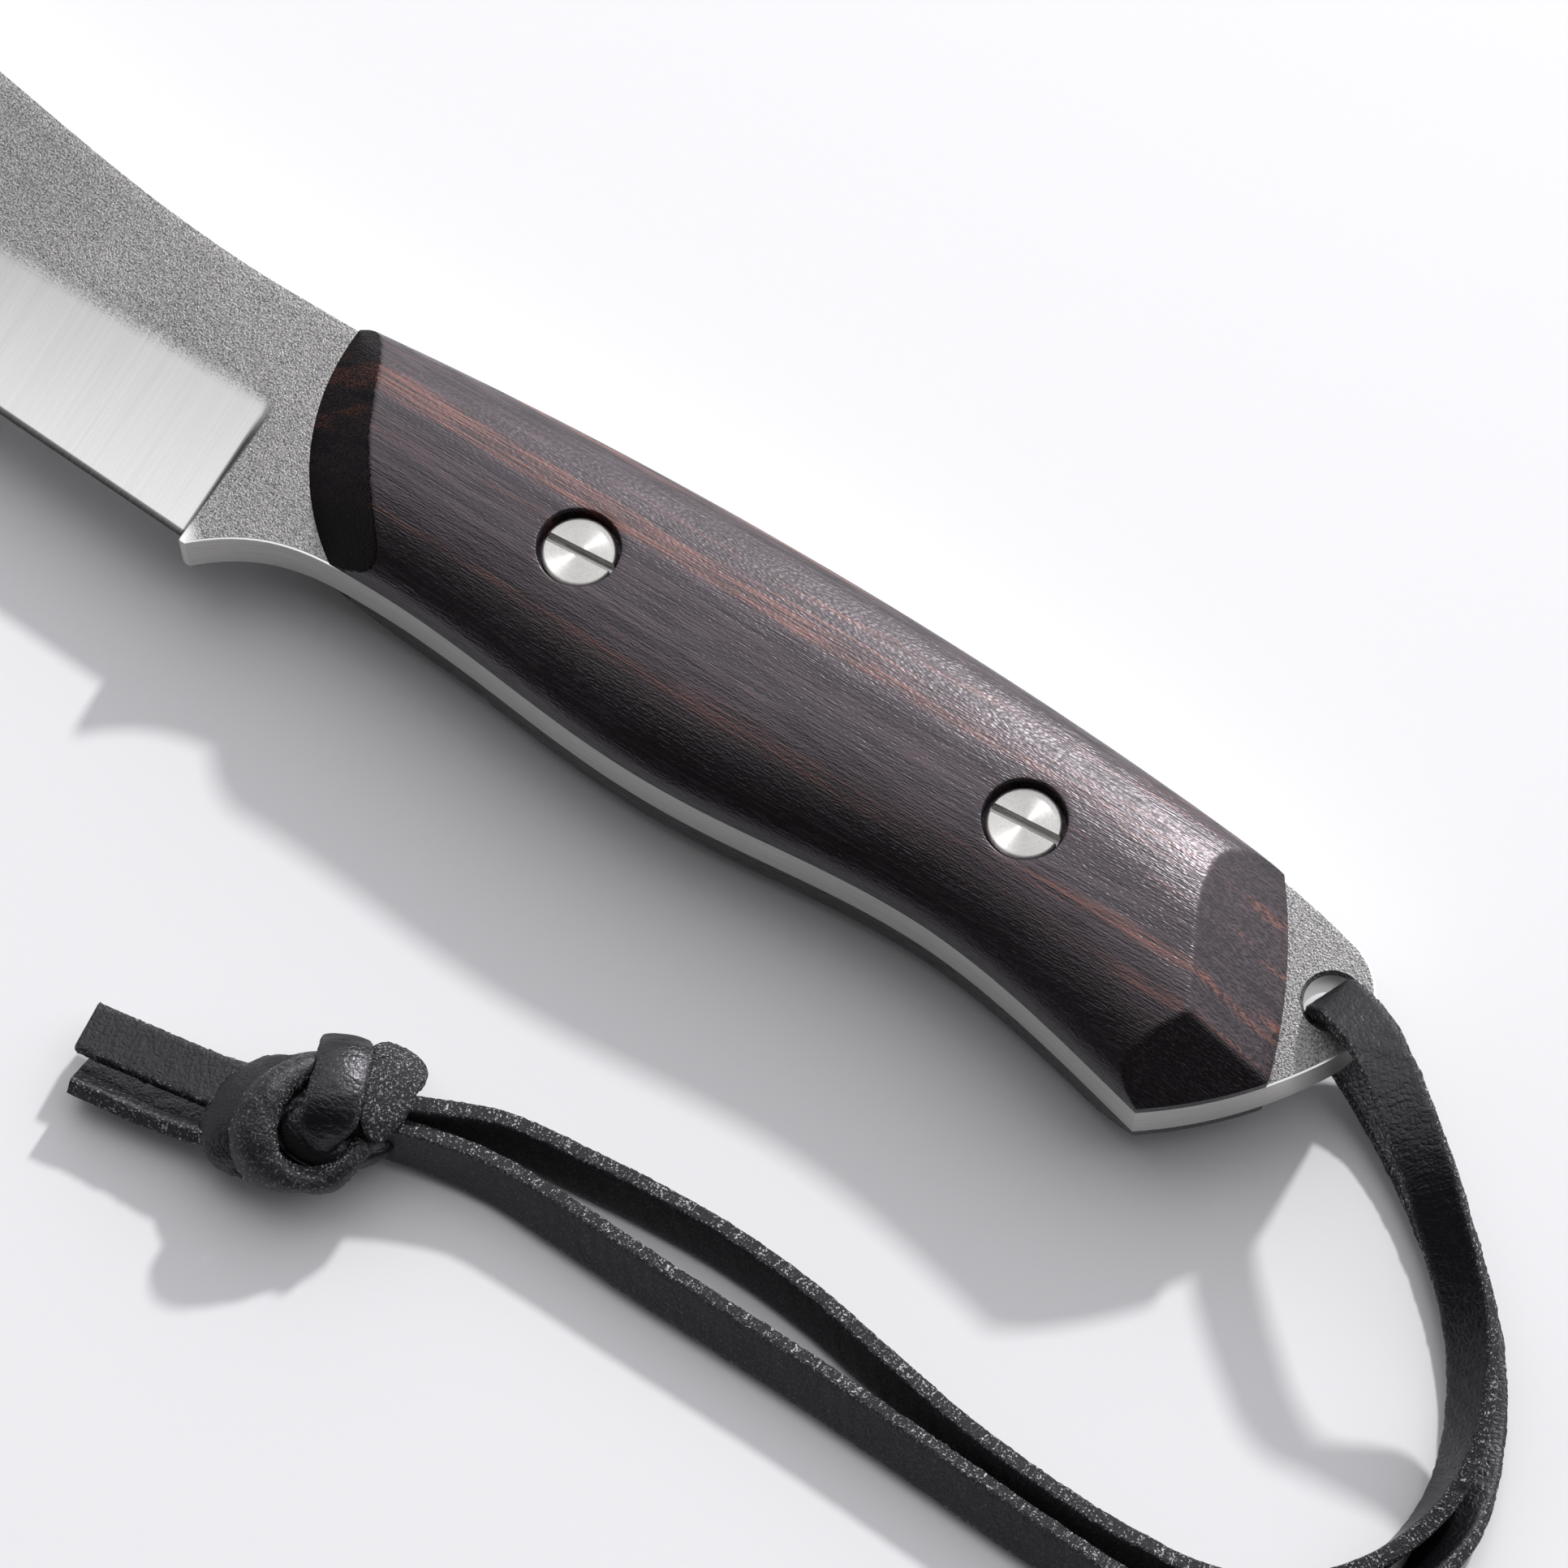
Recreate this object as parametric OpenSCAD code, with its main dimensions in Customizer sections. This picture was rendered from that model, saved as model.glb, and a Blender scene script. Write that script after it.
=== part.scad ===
// Fixed-blade camp knife: one steel plate for blade and tang, two wooden scales
// held by slotted barrel bolts, and a doubled leather lace knotted through the butt.
// X runs from the tip to the butt, Y from the edge to the spine, Z up from the surface it lies on.
// The origin is on that surface, under the middle of the two bolts.

/* [Overall] */
// Length of the handle, front of the scales to the end of the butt
handle_length = 131.8; // [105:0.2:165]
// Length of the blade, heel to tip
blade_length = 120; // [95:1:150]
// Thickness of the steel plate
plate_thickness = 6; // [4:0.1:8]
// Thickness of each scale at its crown
scale_thickness = 6.8; // [5.6:0.1:9]

/* [Handle] */
// Front of the scales at the spine, ahead of the origin
front_reach = 63.4; // [52:0.2:76]
// Spine above the origin, at the front of the scales
spine_height = 12; // [9.5:0.1:15]
// Rise of the spine's arch along the handle
arch_rise = 3; // [1:0.1:4]
// End of the arch, ahead of the end of the butt
arch_back = 19.5; // [16:0.5:24]
// Neck behind the front of the scales
neck_place = 17.4; // [12:0.2:24]
// Depth of the neck below the origin
neck_depth = 12.5; // [10:0.1:16]
// Palm swell behind the front of the scales
swell_place = 53.9; // [42:0.2:66]
// Depth of the palm swell below the origin
swell_depth = 15.2; // [11:0.1:19]
// Waist behind the front of the scales
waist_place = 84.5; // [70:0.2:102]
// Depth of the waist below the origin
waist_depth = 13.2; // [10:0.1:17]
// Butt corner ahead of the end of the butt
corner_place = 15.3; // [12:0.1:20]
// Depth of the butt corner below the origin
corner_depth = 18.8; // [15:0.1:23]
// How square the section of the upper scale is, 2 is an ellipse
upper_section_power = 2; // [2:0.1:4]
// How square the section of the lower scale is, 2 is an ellipse
lower_section_power = 5; // [2:0.1:6]
// Upright land of a scale beside the tang
side_land = 1; // [0.4:0.1:2]
// Rounding taken off the crown to leave a flat
crown_flat_depth = 0.1; // [0.05:0.01:0.3]

/* [Ends of the scales] */
// Radius of the front edge, seen from above
front_radius = 28.1; // [24:0.1:36]
// Height of the centre of the front edge above the origin
front_centre_height = 11; // [8:0.1:14]
// Slope of the front facet
front_slope = 45; // [35:1:60]
// Radius of the rear edge, seen from above
rear_radius = 64; // [50:1:90]
// Height of the middle of the rear edge above the origin
rear_edge_height = 0.8; // [-2:0.1:3]
// Direction that the rear edge faces, from the handle's axis
rear_turn = 26; // [15:1:35]
// Slope of the rear facet
rear_slope = 29.5; // [24:0.5:45]
// Slope of the facet along the lower butt edge
low_slope = 34; // [24:0.5:45]
// Upright wall left below the rear facets
end_wall = 1.2; // [0.6:0.1:2]

/* [Butt] */
// Length of bare steel behind the scales
tongue_length = 9.2; // [8:0.1:14]
// Radius of the rounded end
end_radius = 8; // [7:0.1:10]
// Height of the end's centre above the origin
end_height = 1.5; // [0:0.1:4]
// Radius of the upper run into the end
top_radius = 100; // [80:1:140]
// Radius of the lower butt edge
low_radius = 50; // [40:1:80]
// Chamfer round the lace hole
lace_hole_chamfer = 0.4; // [0.2:0.05:0.8]
// Steel between the lace hole and the end of the butt
lace_hole_wall = 1.5; // [1:0.1:3]
// Height of the lace hole above the origin
lace_hole_height = 2.5; // [0:0.1:4]

/* [Blade] */
// Steel between the scales and the ground bevel, at the spine
ricasso_length = 3.2; // [2:0.1:12]
// Length of the heel's corner along the handle
heel_length = 1.6; // [1:0.1:3]
// Depth of the cutting edge at the heel
edge_depth = 17.4; // [14:0.1:20]
// How far the heel drops from the neck
heel_drop = 6.3; // [4:0.1:9]
// Radius of the heel's corner
heel_radius = 1.2; // [0.6:0.1:2]
// Climb of the straight part of the edge, in degrees
edge_climb = 3.15; // [0:0.05:6]
// Length of the straight part of the edge
edge_straight = 48; // [30:1:70]
// Radius of the curved part of the edge
edge_radius = 150; // [130:1:250]
// Thickness left at the edge
edge_thickness = 0.4; // [0.2:0.05:0.8]
// Width of the bevel at the heel
bevel_heel = 17.6; // [12:0.1:19]
// Width of the bevel along the curved edge
bevel_belly = 14.2; // [10:0.1:18]
// Start of the spine's rise, ahead of the ricasso
rise_start = 4.9; // [0:0.1:12]
// Top of the hump, ahead of the ricasso
hump_place = 83.4; // [66:0.2:94]
// Rise of the spine's hump
hump_rise = 8.8; // [4:0.1:12]

/* [Bolts] */
// Distance between the bolts
bolt_spacing = 55.5; // [45:0.5:68]
// Height of the front bolt above the origin
front_bolt_height = 1; // [-3:0.1:3]
// Height of the rear bolt above the origin
rear_bolt_height = 0.2; // [-3:0.1:3]
// Diameter of the slotted heads
head_diameter = 8; // [7:0.1:9.6]
// Thickness of the heads
head_thickness = 2; // [1.6:0.1:2.8]
// Chamfer round the heads
head_chamfer = 0.3; // [0.1:0.05:0.6]
// How far the heads sit below the crown
head_sink = 1.2; // [0.6:0.1:2]
// Gap round a head in its counterbore
head_gap = 0.5; // [0.2:0.05:0.8]
// Diameter of the barrel
barrel_diameter = 5.4; // [5:0.1:6.4]
// Diameter of the screw
screw_diameter = 4; // [3:0.1:4.5]
// Length of the screw below its head
screw_length = 5.6; // [4:0.1:7.5]
// Room between the barrel's end and the screw's head
barrel_end_gap = 0.8; // [0.4:0.1:1.5]
// Radial clearance of the barrel in its holes and of the screw in the barrel
running_clearance = 0.05; // [0.02:0.01:0.1]
// Width of the driver slots
slot_width = 0.9; // [0.7:0.05:1.4]
// Depth of the driver slots
slot_depth = 1; // [0.6:0.1:1.2]
// Turn of the driver slots from the handle's axis
slot_turn = 4; // [-45:1:45]

/* [Lace] */
// Width of the flat lace
lace_width = 5.6; // [4.4:0.1:6.8]
// Thickness of the lace
lace_thickness = 2; // [1.4:0.1:2.2]
// Room for the lace's width in its hole
lace_room = 0.4; // [0.3:0.1:1.5]
// Corner taken off the section of the lace
lace_corner = 0.4; // [0.2:0.05:0.6]

/* [Hidden] */
$fn = 64;

// Levels of the stack
plate_bottom = scale_thickness;
plate_middle = plate_bottom + plate_thickness / 2;
plate_top = plate_bottom + plate_thickness;

lace_hole = lace_width + lace_room;

// Places along the handle
front_x = -front_reach;
butt_x = handle_length - front_reach;
plunge_x = front_x - ricasso_length;
neck_x = front_x + neck_place;
swell_x = front_x + swell_place;
waist_x = front_x + waist_place;
corner_x = butt_x - corner_place;
heel_x = plunge_x + heel_length;

// Bolts
front_bolt = [-bolt_spacing / 2, front_bolt_height];
rear_bolt = [bolt_spacing / 2, rear_bolt_height];
bolts = [front_bolt, rear_bolt];
barrel_hole = barrel_diameter + 2 * running_clearance;
head_hole = head_diameter + 2 * head_gap;
seat_height = scale_thickness - head_sink - head_thickness;
lower_seat = plate_bottom - seat_height;
upper_seat = plate_top + seat_height;
barrel_top = upper_seat - barrel_end_gap;
screw_end_room = 1;
head_root = head_thickness / 4;

// Easing from 0 to 1 with level ends
function ease(t) = (1 - cos(180 * min(1, max(0, t)))) / 2;
function blend(x, x0, y0, x1, y1) = y0 + (y1 - y0) * ease((x - x0) / (x1 - x0));
function spread(low, high, count) = [for (i = [0:count]) low + (high - low) * i / count];
function arc(centre, radius, from, to, count) =
    [for (a = spread(from, to, count)) centre + radius * [cos(a), sin(a)]];

// Belly of the grip: neck, palm swell, waist, then the flare to the butt corner, part square and part cubic
flare_square = 1.6;
function flare(t) = t * t * (flare_square + (1 - flare_square) * t);
function grip_y(x) =
    x < neck_x ? -neck_depth :
    x < swell_x ? blend(x, neck_x, -neck_depth, swell_x, -swell_depth) :
    x < waist_x ? blend(x, swell_x, -swell_depth, waist_x, -waist_depth) :
    -waist_depth - (corner_depth - waist_depth) * flare((x - waist_x) / (corner_x - waist_x));

// The tang's belly is the grip's, and drops to the heel ahead of the neck
function belly_y(x) = grip_y(x) - (x < neck_x ? heel_drop * pow((neck_x - x) / (neck_x - heel_x), 3) : 0);

// The spine along the handle: a shallow arch, then a rounder run into the end of the butt, tangent arcs
arch_half = (handle_length - arch_back) / 2;
arch_radius = (arch_half * arch_half + arch_rise * arch_rise) / (2 * arch_rise);
arch_centre = [front_x + arch_half, spine_height + arch_rise - arch_radius];
end_centre = [butt_x - end_radius, end_height];
end_reach = norm(end_centre - arch_centre);
end_way = (end_centre - arch_centre) / end_reach;
arch_gap = arch_radius - top_radius;
top_gap = top_radius - end_radius;
top_along = (arch_gap * arch_gap - top_gap * top_gap + end_reach * end_reach) / (2 * end_reach);
top_across = sqrt(max(0, arch_gap * arch_gap - top_along * top_along));
top_centre = arch_centre + top_along * end_way + top_across * [-end_way.y, end_way.x];
top_turn = atan2(end_centre.y - top_centre.y, end_centre.x - top_centre.x);
join_turn = atan2(top_centre.y - arch_centre.y, top_centre.x - arch_centre.x);
join_x = top_centre.x + top_radius * cos(join_turn);
function circle_y(centre, radius, x) = centre.y + sqrt(radius * radius - pow(x - centre.x, 2));
function top_y(x) = x < join_x ? circle_y(arch_centre, arch_radius, x) : circle_y(top_centre, top_radius, x);

// The lower butt edge, an arc from the corner tangent to the rounded end
corner = [corner_x, -corner_depth];
corner_reach = norm(corner - end_centre);
corner_way = (corner - end_centre) / corner_reach;
low_gap = low_radius - end_radius;
low_along = (low_gap * low_gap - low_radius * low_radius + corner_reach * corner_reach) / (2 * corner_reach);
low_across = sqrt(low_gap * low_gap - low_along * low_along);
low_centre = end_centre + low_along * corner_way + low_across * [corner_way.y, -corner_way.x];
low_start = atan2(end_centre.y - low_centre.y, end_centre.x - low_centre.x);
low_end = atan2(corner.y - low_centre.y, corner.x - low_centre.x);
lace_hole_centre = [butt_x - lace_hole_wall - lace_hole / 2, lace_hole_height];

// The cutting edge: a straight run and then an arc up to the tip
tip_x = plunge_x - blade_length;
edge_start = [plunge_x, -edge_depth];
edge_way = [-cos(edge_climb), sin(edge_climb)];
edge_bend = edge_start + edge_straight * edge_way;
tip_climb = asin(sin(edge_climb) + (edge_bend.x - tip_x) / edge_radius);
function edge_arc(climb) =
    edge_bend + edge_radius * [sin(edge_climb) - sin(climb), cos(edge_climb) - cos(climb)];
tip = edge_arc(tip_climb);

// The blade's spine: level at the ricasso, a long rise to the hump, then a fall to the tip
rise_x = plunge_x - rise_start;
hump_x = plunge_x - hump_place;
function rise_y(x) = spine_height + hump_rise * ease((rise_x - x) / (rise_x - hump_x));
function fall(x) = pow(max(0, (hump_x - x) / (hump_x - tip_x)), 2);
function spine_y(x) = rise_y(x) - (rise_y(tip_x) - tip.y) * fall(x);

// Outline of the plate, anticlockwise from the tip along the edge
heel_centre = [plunge_x + heel_radius, belly_y(heel_x) + heel_radius];
outline = concat(
    [for (a = spread(tip_climb, edge_climb, 24)) edge_arc(a)],
    [edge_start],
    arc(heel_centre, heel_radius, 180, 290, 6),
    [for (x = spread(heel_x, corner_x, 72)) if (x > heel_x) [x, belly_y(x)]],
    [for (a = spread(low_end, low_start, 10)) if (a > low_end) low_centre + low_radius * [cos(a), sin(a)]],
    [for (a = spread(low_start, top_turn, 16)) if (a > low_start) end_centre + end_radius * [cos(a), sin(a)]],
    [for (a = spread(top_turn, join_turn, 6)) if (a > top_turn) top_centre + top_radius * [cos(a), sin(a)]],
    [for (x = spread(join_x, front_x, 20)) if (x < join_x && x > front_x) [x, top_y(x)]],
    [for (x = spread(front_x, tip_x, 48)) if (x > tip_x) [x, spine_y(x)]]
);

// One side of the ground bevel, as the steel taken away above it
bevel_reach = 2;
bevel_over = 1;
function bevel_width(s) = bevel_heel + (bevel_belly - bevel_heel) * min(1, s / edge_straight);
function bevel_ring(point, climb, s) =
    let (
        inward = [sin(climb), cos(climb)],
        slope = (plate_thickness - edge_thickness) / 2 / bevel_width(s),
        outer = point - bevel_reach * inward,
        inner = point + (bevel_width(s) + bevel_over / slope) * inward,
        ceiling = plate_thickness / 2 + bevel_over
    )
    [
        [outer.x, outer.y, edge_thickness / 2 - bevel_reach * slope],
        [inner.x, inner.y, ceiling],
        [outer.x, outer.y, ceiling]
    ];
bevel_past_tip = 5;
bevel_rings = concat(
    [for (s = spread(0, edge_straight, 8)) bevel_ring(edge_start + s * edge_way, edge_climb, s)],
    [for (a = spread(edge_climb, tip_climb + bevel_past_tip, 30)) if (a > edge_climb)
        bevel_ring(edge_arc(a), a, edge_straight)]
);

// Skin over a row of rings of points, closed at both ends
module skin(rings) {
    count = len(rings);
    sides = len(rings[0]);
    walls = [
        for (i = [0:count - 2], j = [0:sides - 1], half = [0, 1])
            let (a = i * sides + j, b = i * sides + (j + 1) % sides)
            half == 0 ? [a, b, b + sides] : [a, b + sides, a + sides]
    ];
    near_end = [[for (j = [0:sides - 1]) sides - 1 - j]];
    far_end = [[for (j = [0:sides - 1]) (count - 1) * sides + j]];
    polyhedron([for (ring = rings) each ring], concat(walls, near_end, far_end));
}

// One scale with its flat side at the origin level and its crown upwards
section_steps = 16;
function section_side(a, power) = sign(cos(a)) * pow(abs(cos(a)), 2 / power);
function section_crown(a, power) = pow(abs(sin(a)), 2 / power);
function scale_ring(x, power) =
    let (
        middle = (top_y(x) + grip_y(x)) / 2,
        half = (top_y(x) - grip_y(x)) / 2,
        dome = scale_thickness + crown_flat_depth - side_land
    )
    concat(
        [[x, middle - half, 0]],
        [for (a = spread(0, 180, section_steps))
            [x, middle - half * section_side(a, power), side_land + dome * section_crown(a, power)]],
        [[x, middle + half, 0]]
    );

// A facet that follows a round edge: upright for the wall, then sloping to the middle
cut_over = 1;
cut_past = 5;
cut_room = 40;
module facet_cone(centre, radius, wall, slope) {
    height = scale_thickness + 2 * cut_over;
    translate([centre.x, centre.y, -cut_over])
        rotate_extrude($fn = 96)
            polygon([
                [0, 0], [radius, 0], [radius, wall + cut_over],
                [radius - (height - wall) / tan(slope), height + cut_over], [0, height + cut_over]
            ]);
}

module cut_outside(low_x, high_x) {
    difference() {
        translate([low_x, -cut_room, -cut_over / 2])
            cube([high_x - low_x, 2 * cut_room, scale_thickness + 2 * cut_over]);
        children();
    }
}

front_centre = [
    front_x + sqrt(pow(front_radius, 2) - pow(spine_height - front_centre_height, 2)),
    front_centre_height
];
rear_middle = [butt_x - tongue_length, rear_edge_height];
rear_centre = rear_middle - rear_radius * [cos(rear_turn), sin(rear_turn)];

blank_back = butt_x - lace_hole_wall - lace_hole / 4;
module scale_blank(power) {
    difference() {
        skin([for (x = spread(front_x - cut_over, blank_back, 44)) scale_ring(x, power)]);
        translate([front_x - cut_past, -cut_room, scale_thickness])
            cube([handle_length + 2 * cut_past, 2 * cut_room, cut_over]);
        cut_outside(front_x - cut_past, front_centre.x)
            facet_cone(front_centre, front_radius, 0, front_slope);
        cut_outside(rear_bolt.x + head_hole / 2, butt_x + cut_past)
            facet_cone(rear_centre, rear_radius, end_wall, rear_slope);
        cut_outside(rear_bolt.x + head_hole / 2, butt_x + cut_past)
            facet_cone(low_centre, low_radius, end_wall, low_slope);
        for (bolt = bolts) {
            translate([bolt.x, bolt.y, -cut_over])
                cylinder(d = barrel_hole, h = scale_thickness);
            translate([bolt.x, bolt.y, seat_height])
                cylinder(d = head_hole, h = scale_thickness);
        }
    }
}

module upper_scale() {
    color("#3a2522")
        translate([0, 0, plate_top])
            scale_blank(upper_section_power);
}

module lower_scale() {
    color("#3a2522")
        translate([0, 0, plate_bottom])
            mirror([0, 0, 1])
                scale_blank(lower_section_power);
}

// Blade and tang in one plate
module blade_tang() {
    color("#9a9a9a")
        translate([0, 0, plate_middle])
            difference() {
                linear_extrude(plate_thickness, center = true)
                    polygon(outline);
                skin(bevel_rings);
                mirror([0, 0, 1])
                    skin(bevel_rings);
                for (bolt = bolts)
                    translate([bolt.x, bolt.y, -plate_thickness])
                        cylinder(d = barrel_hole, h = 2 * plate_thickness);
                translate([lace_hole_centre.x, lace_hole_centre.y, 0]) {
                    cylinder(d = lace_hole, h = 2 * plate_thickness, center = true);
                    for (side = [0, 1])
                        mirror([0, 0, side])
                            translate([0, 0, plate_thickness / 2 - lace_hole_chamfer])
                                cylinder(
                                    d1 = lace_hole, d2 = lace_hole + 2 * (lace_hole_chamfer + cut_over),
                                    h = lace_hole_chamfer + cut_over
                                );
                }
            }
}

// A round head with a driver slot across its top, seat at the origin level
module slotted_head() {
    difference() {
        rotate_extrude()
            polygon([
                [0, 0], [head_diameter / 2, 0], [head_diameter / 2, head_thickness - head_chamfer],
                [head_diameter / 2 - head_chamfer, head_thickness], [0, head_thickness]
            ]);
        rotate([0, 0, slot_turn])
            translate([-head_diameter, -slot_width / 2, head_thickness - slot_depth])
                cube([2 * head_diameter, slot_width, slot_depth + cut_over]);
    }
}

module screw(bolt) {
    color("#c8c8c8")
        translate([bolt.x, bolt.y, upper_seat]) {
            slotted_head();
            translate([0, 0, -screw_length])
                cylinder(d = screw_diameter, h = screw_length + head_root);
        }
}

module front_screw() {
    screw(front_bolt);
}

module rear_screw() {
    screw(rear_bolt);
}

// Barrel nut: head below, bore open at the top for the screw
module barrel_nut(bolt) {
    bore_floor = upper_seat - screw_length - screw_end_room;
    color("#c8c8c8")
        translate([bolt.x, bolt.y, 0])
            difference() {
                union() {
                    translate([0, 0, lower_seat])
                        mirror([0, 0, 1])
                            slotted_head();
                    translate([0, 0, lower_seat - head_root])
                        cylinder(d = barrel_diameter, h = barrel_top - lower_seat + head_root);
                }
                translate([0, 0, bore_floor])
                    cylinder(d = screw_diameter + 2 * running_clearance, h = upper_seat);
            }
}

module front_barrel_nut() {
    barrel_nut(front_bolt);
}

module rear_barrel_nut() {
    barrel_nut(rear_bolt);
}

// Lace routes: place of the lace's middle, and its lean from lying flat
hole_x = lace_hole_centre.x;
hole_y = lace_hole_centre.y;
hole_lip = 0.2;
upper_route = [
    [hole_x, hole_y, plate_middle, 0], [hole_x, hole_y, plate_top + hole_lip, 0],
    [64.8, 2.2, 14.6, 0], [66.9, 1.2, 16.2, 0], [70, -0.4, 17.4, -4], [73.7, -3, 17.9, -8],
    [78.2, -6.6, 17.9, -13], [81.9, -9.5, 17.1, -18], [85.2, -12.2, 15.4, -23], [88.5, -14.8, 13.3, -28],
    [91.8, -17.6, 11, -34], [94.6, -20.8, 8.8, -40], [97.1, -24.9, 6.8, -46], [98.8, -29.3, 5.1, -54],
    [99.5, -33.9, 3.8, -64], [99, -38.8, 3.2, -75], [97.2, -43.8, 3, -85], [94, -48.6, 3, -95],
    [89.5, -52.6, 3, -104], [83.5, -55, 3, -110], [76, -56, 3, -114], [66, -56, 3, -114],
    [55.5, -55.2, 3, -114], [44.5, -53.4, 3, -114], [34, -51.6, 3, -114], [24, -50.9, 3, -114],
    [14.6, -51.2, 3, -114], [6, -52, 3, -114], [-2.5, -53.2, 3.4, -110], [-9.5, -56.2, 4.4, -104],
    [-14.5, -58.6, 5, -100]
];
lower_route = [
    [hole_x, hole_y, plate_middle, 0], [hole_x, hole_y, plate_bottom - hole_lip, 0],
    [64.7, 2.2, 5.2, 0], [66.6, 1.7, 4.1, 0], [69.3, 0.9, 3, 0], [73.5, -1.1, 1.9, 0],
    [77.9, -3.7, 1.4, 0], [82, -6.5, 1.2, 0], [86, -9.6, 1.2, 0], [89.8, -13, 1.2, 0],
    [93.4, -16.8, 1.2, 0], [96.6, -21.2, 1.2, 0], [99.2, -26, 1.2, 0], [101.2, -31.2, 1.7, -10],
    [102.2, -36.4, 2.4, -30], [102, -41.6, 2.9, -52], [100.6, -46.8, 3, -76], [97.6, -51.8, 3, -98],
    [93, -55.8, 3, -112], [86.5, -58.6, 3, -120], [78, -60, 3, -124], [68, -59.9, 3, -126],
    [58, -59.4, 3, -126], [47, -58.8, 3, -126], [37.5, -58.4, 3, -126], [27.5, -58.2, 3, -126],
    [17.5, -58, 3, -126], [8, -57.6, 3, -124], [-1, -57.6, 3, -118], [-8.5, -59, 3.7, -110],
    [-14.5, -61, 4.4, -104]
];
upper_tail_route = [
    [-24, -63.4, 5.6, 0], [-29.5, -64.8, 5.4, 0], [-35, -65.6, 4.8, 0], [-40, -66.2, 4.2, 0],
    [-45, -66.8, 3.8, 0]
];
lower_tail_route = [
    [-24, -66.6, 4.2, -30], [-29, -68.8, 3.4, -34], [-34, -69.9, 2.8, -36], [-38.5, -70.6, 2.6, -38],
    [-43.2, -71.3, 2.6, -40]
];

function place(stop) = [stop.x, stop.y, stop.z];
function unit(v) = v / norm(v);
function travel(route, i) =
    unit(place(route[min(i + 1, len(route) - 1)]) - place(route[max(i - 1, 0)]));
function heading(route, i) =
    let (v = place(route[min(i + 2, len(route) - 1)]) - place(route[max(i - 1, 0)]))
    unit([v.x, v.y, 0]);

// The flat section of the lace across its route, leaning as the stop says
function lace_ring(route, i) =
    let (
        way = i == 0 ? unit(place(route[1]) - place(route[0])) : travel(route, i),
        course = heading(route, i),
        level = [course.y, -course.x, 0],
        side = unit(level - (level * way) * way),
        up = cross(side, way),
        lean = route[i][3],
        across = cos(lean) * side + sin(lean) * up,
        through = cross(across, way),
        wide = lace_width / 2,
        thick = lace_thickness / 2,
        c = lace_corner
    )
    [
        for (p = [
            [wide, -thick + c], [wide, thick - c], [wide - c, thick], [-wide + c, thick],
            [-wide, thick - c], [-wide, -thick + c], [-wide + c, -thick], [wide - c, -thick]
        ])
            place(route[i]) + p.x * across + p.y * through
    ];

module lace(route) {
    color("#17171a")
        skin([for (i = [0:len(route) - 1]) lace_ring(route, i)]);
}

module lace_upper_strand() {
    lace(upper_route);
}

module lace_lower_strand() {
    lace(lower_route);
}

module lace_upper_tail() {
    lace(upper_tail_route);
}

module lace_lower_tail() {
    lace(lower_tail_route);
}

// The overhand knot as one rounded lump
knot_centre = [-19.8, -62.4];
knot_turn = 33;
knot_radius = 5.2;
knot_long = 4.2;
knot_across = 1.8;
module lace_knot() {
    color("#17171a")
        translate([knot_centre.x, knot_centre.y, knot_radius])
            rotate([0, 0, knot_turn])
                hull()
                    for (x = [-knot_long, knot_long], y = [-knot_across, knot_across])
                        translate([x, y, 0])
                            sphere(knot_radius, $fn = 24);
}

blade_tang();
upper_scale();
lower_scale();
front_screw();
rear_screw();
front_barrel_nut();
rear_barrel_nut();
lace_upper_strand();
lace_lower_strand();
lace_knot();
lace_upper_tail();
lace_lower_tail();
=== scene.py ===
import bpy
import bmesh
import math
import numpy as np
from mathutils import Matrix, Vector
from types import SimpleNamespace


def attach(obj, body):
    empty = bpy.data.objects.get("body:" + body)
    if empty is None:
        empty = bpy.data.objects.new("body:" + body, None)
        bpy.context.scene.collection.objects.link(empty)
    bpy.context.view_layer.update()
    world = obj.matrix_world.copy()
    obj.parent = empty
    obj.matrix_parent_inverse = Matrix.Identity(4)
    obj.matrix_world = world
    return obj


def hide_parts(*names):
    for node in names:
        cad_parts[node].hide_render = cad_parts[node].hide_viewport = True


# Looks for a fixed-blade camp knife: ground steel plate, striped wooden scales, slotted bolts, leather lace.
# Shapes are worked out in millimetres and put into meshes in metres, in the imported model's frame.

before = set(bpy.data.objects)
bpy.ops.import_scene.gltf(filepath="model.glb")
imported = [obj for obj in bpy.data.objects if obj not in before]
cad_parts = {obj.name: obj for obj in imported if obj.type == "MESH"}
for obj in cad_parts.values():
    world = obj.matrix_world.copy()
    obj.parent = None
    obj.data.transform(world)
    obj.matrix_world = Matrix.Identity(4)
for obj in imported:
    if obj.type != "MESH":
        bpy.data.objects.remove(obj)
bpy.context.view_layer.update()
scene = bpy.context.scene
mm = 0.001
print("frame loaded:", len(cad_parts), "nodes")


# camera and view

cameraSetup = {
    "place": (131.07, -207.38, 611.58), "lookAt": (3.34, -7.66, 12.8),
    "fieldOfView": 14.49,  # degrees, square picture
    "clip": (0.05, 50),  # metres
}


def addObject(name, data):
    # an object in the scene for a mesh, a lamp or a camera
    thing = bpy.data.objects.new(name, data)
    scene.collection.objects.link(thing)
    return thing


def aim(thing, place, lookAt):
    # stands at place and looks to lookAt with world Z upright
    thing.location = place
    thing.rotation_euler = (lookAt - place).to_track_quat("-Z", "Y").to_euler()


def makeCamera(setup):
    data = bpy.data.cameras.new("camera")
    data.sensor_fit = "HORIZONTAL"
    data.angle = math.radians(setup["fieldOfView"])
    data.clip_start, data.clip_end = setup["clip"]
    scene.camera = addObject("camera", data)
    aim(scene.camera, Vector(setup["place"]) * mm, Vector(setup["lookAt"]) * mm)


makeCamera(cameraSetup)
scene.view_settings.view_transform = "Standard"
print("camera set")


# mesh tools

gapSides = 24  # gaps of up to so many edges are closed


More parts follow.
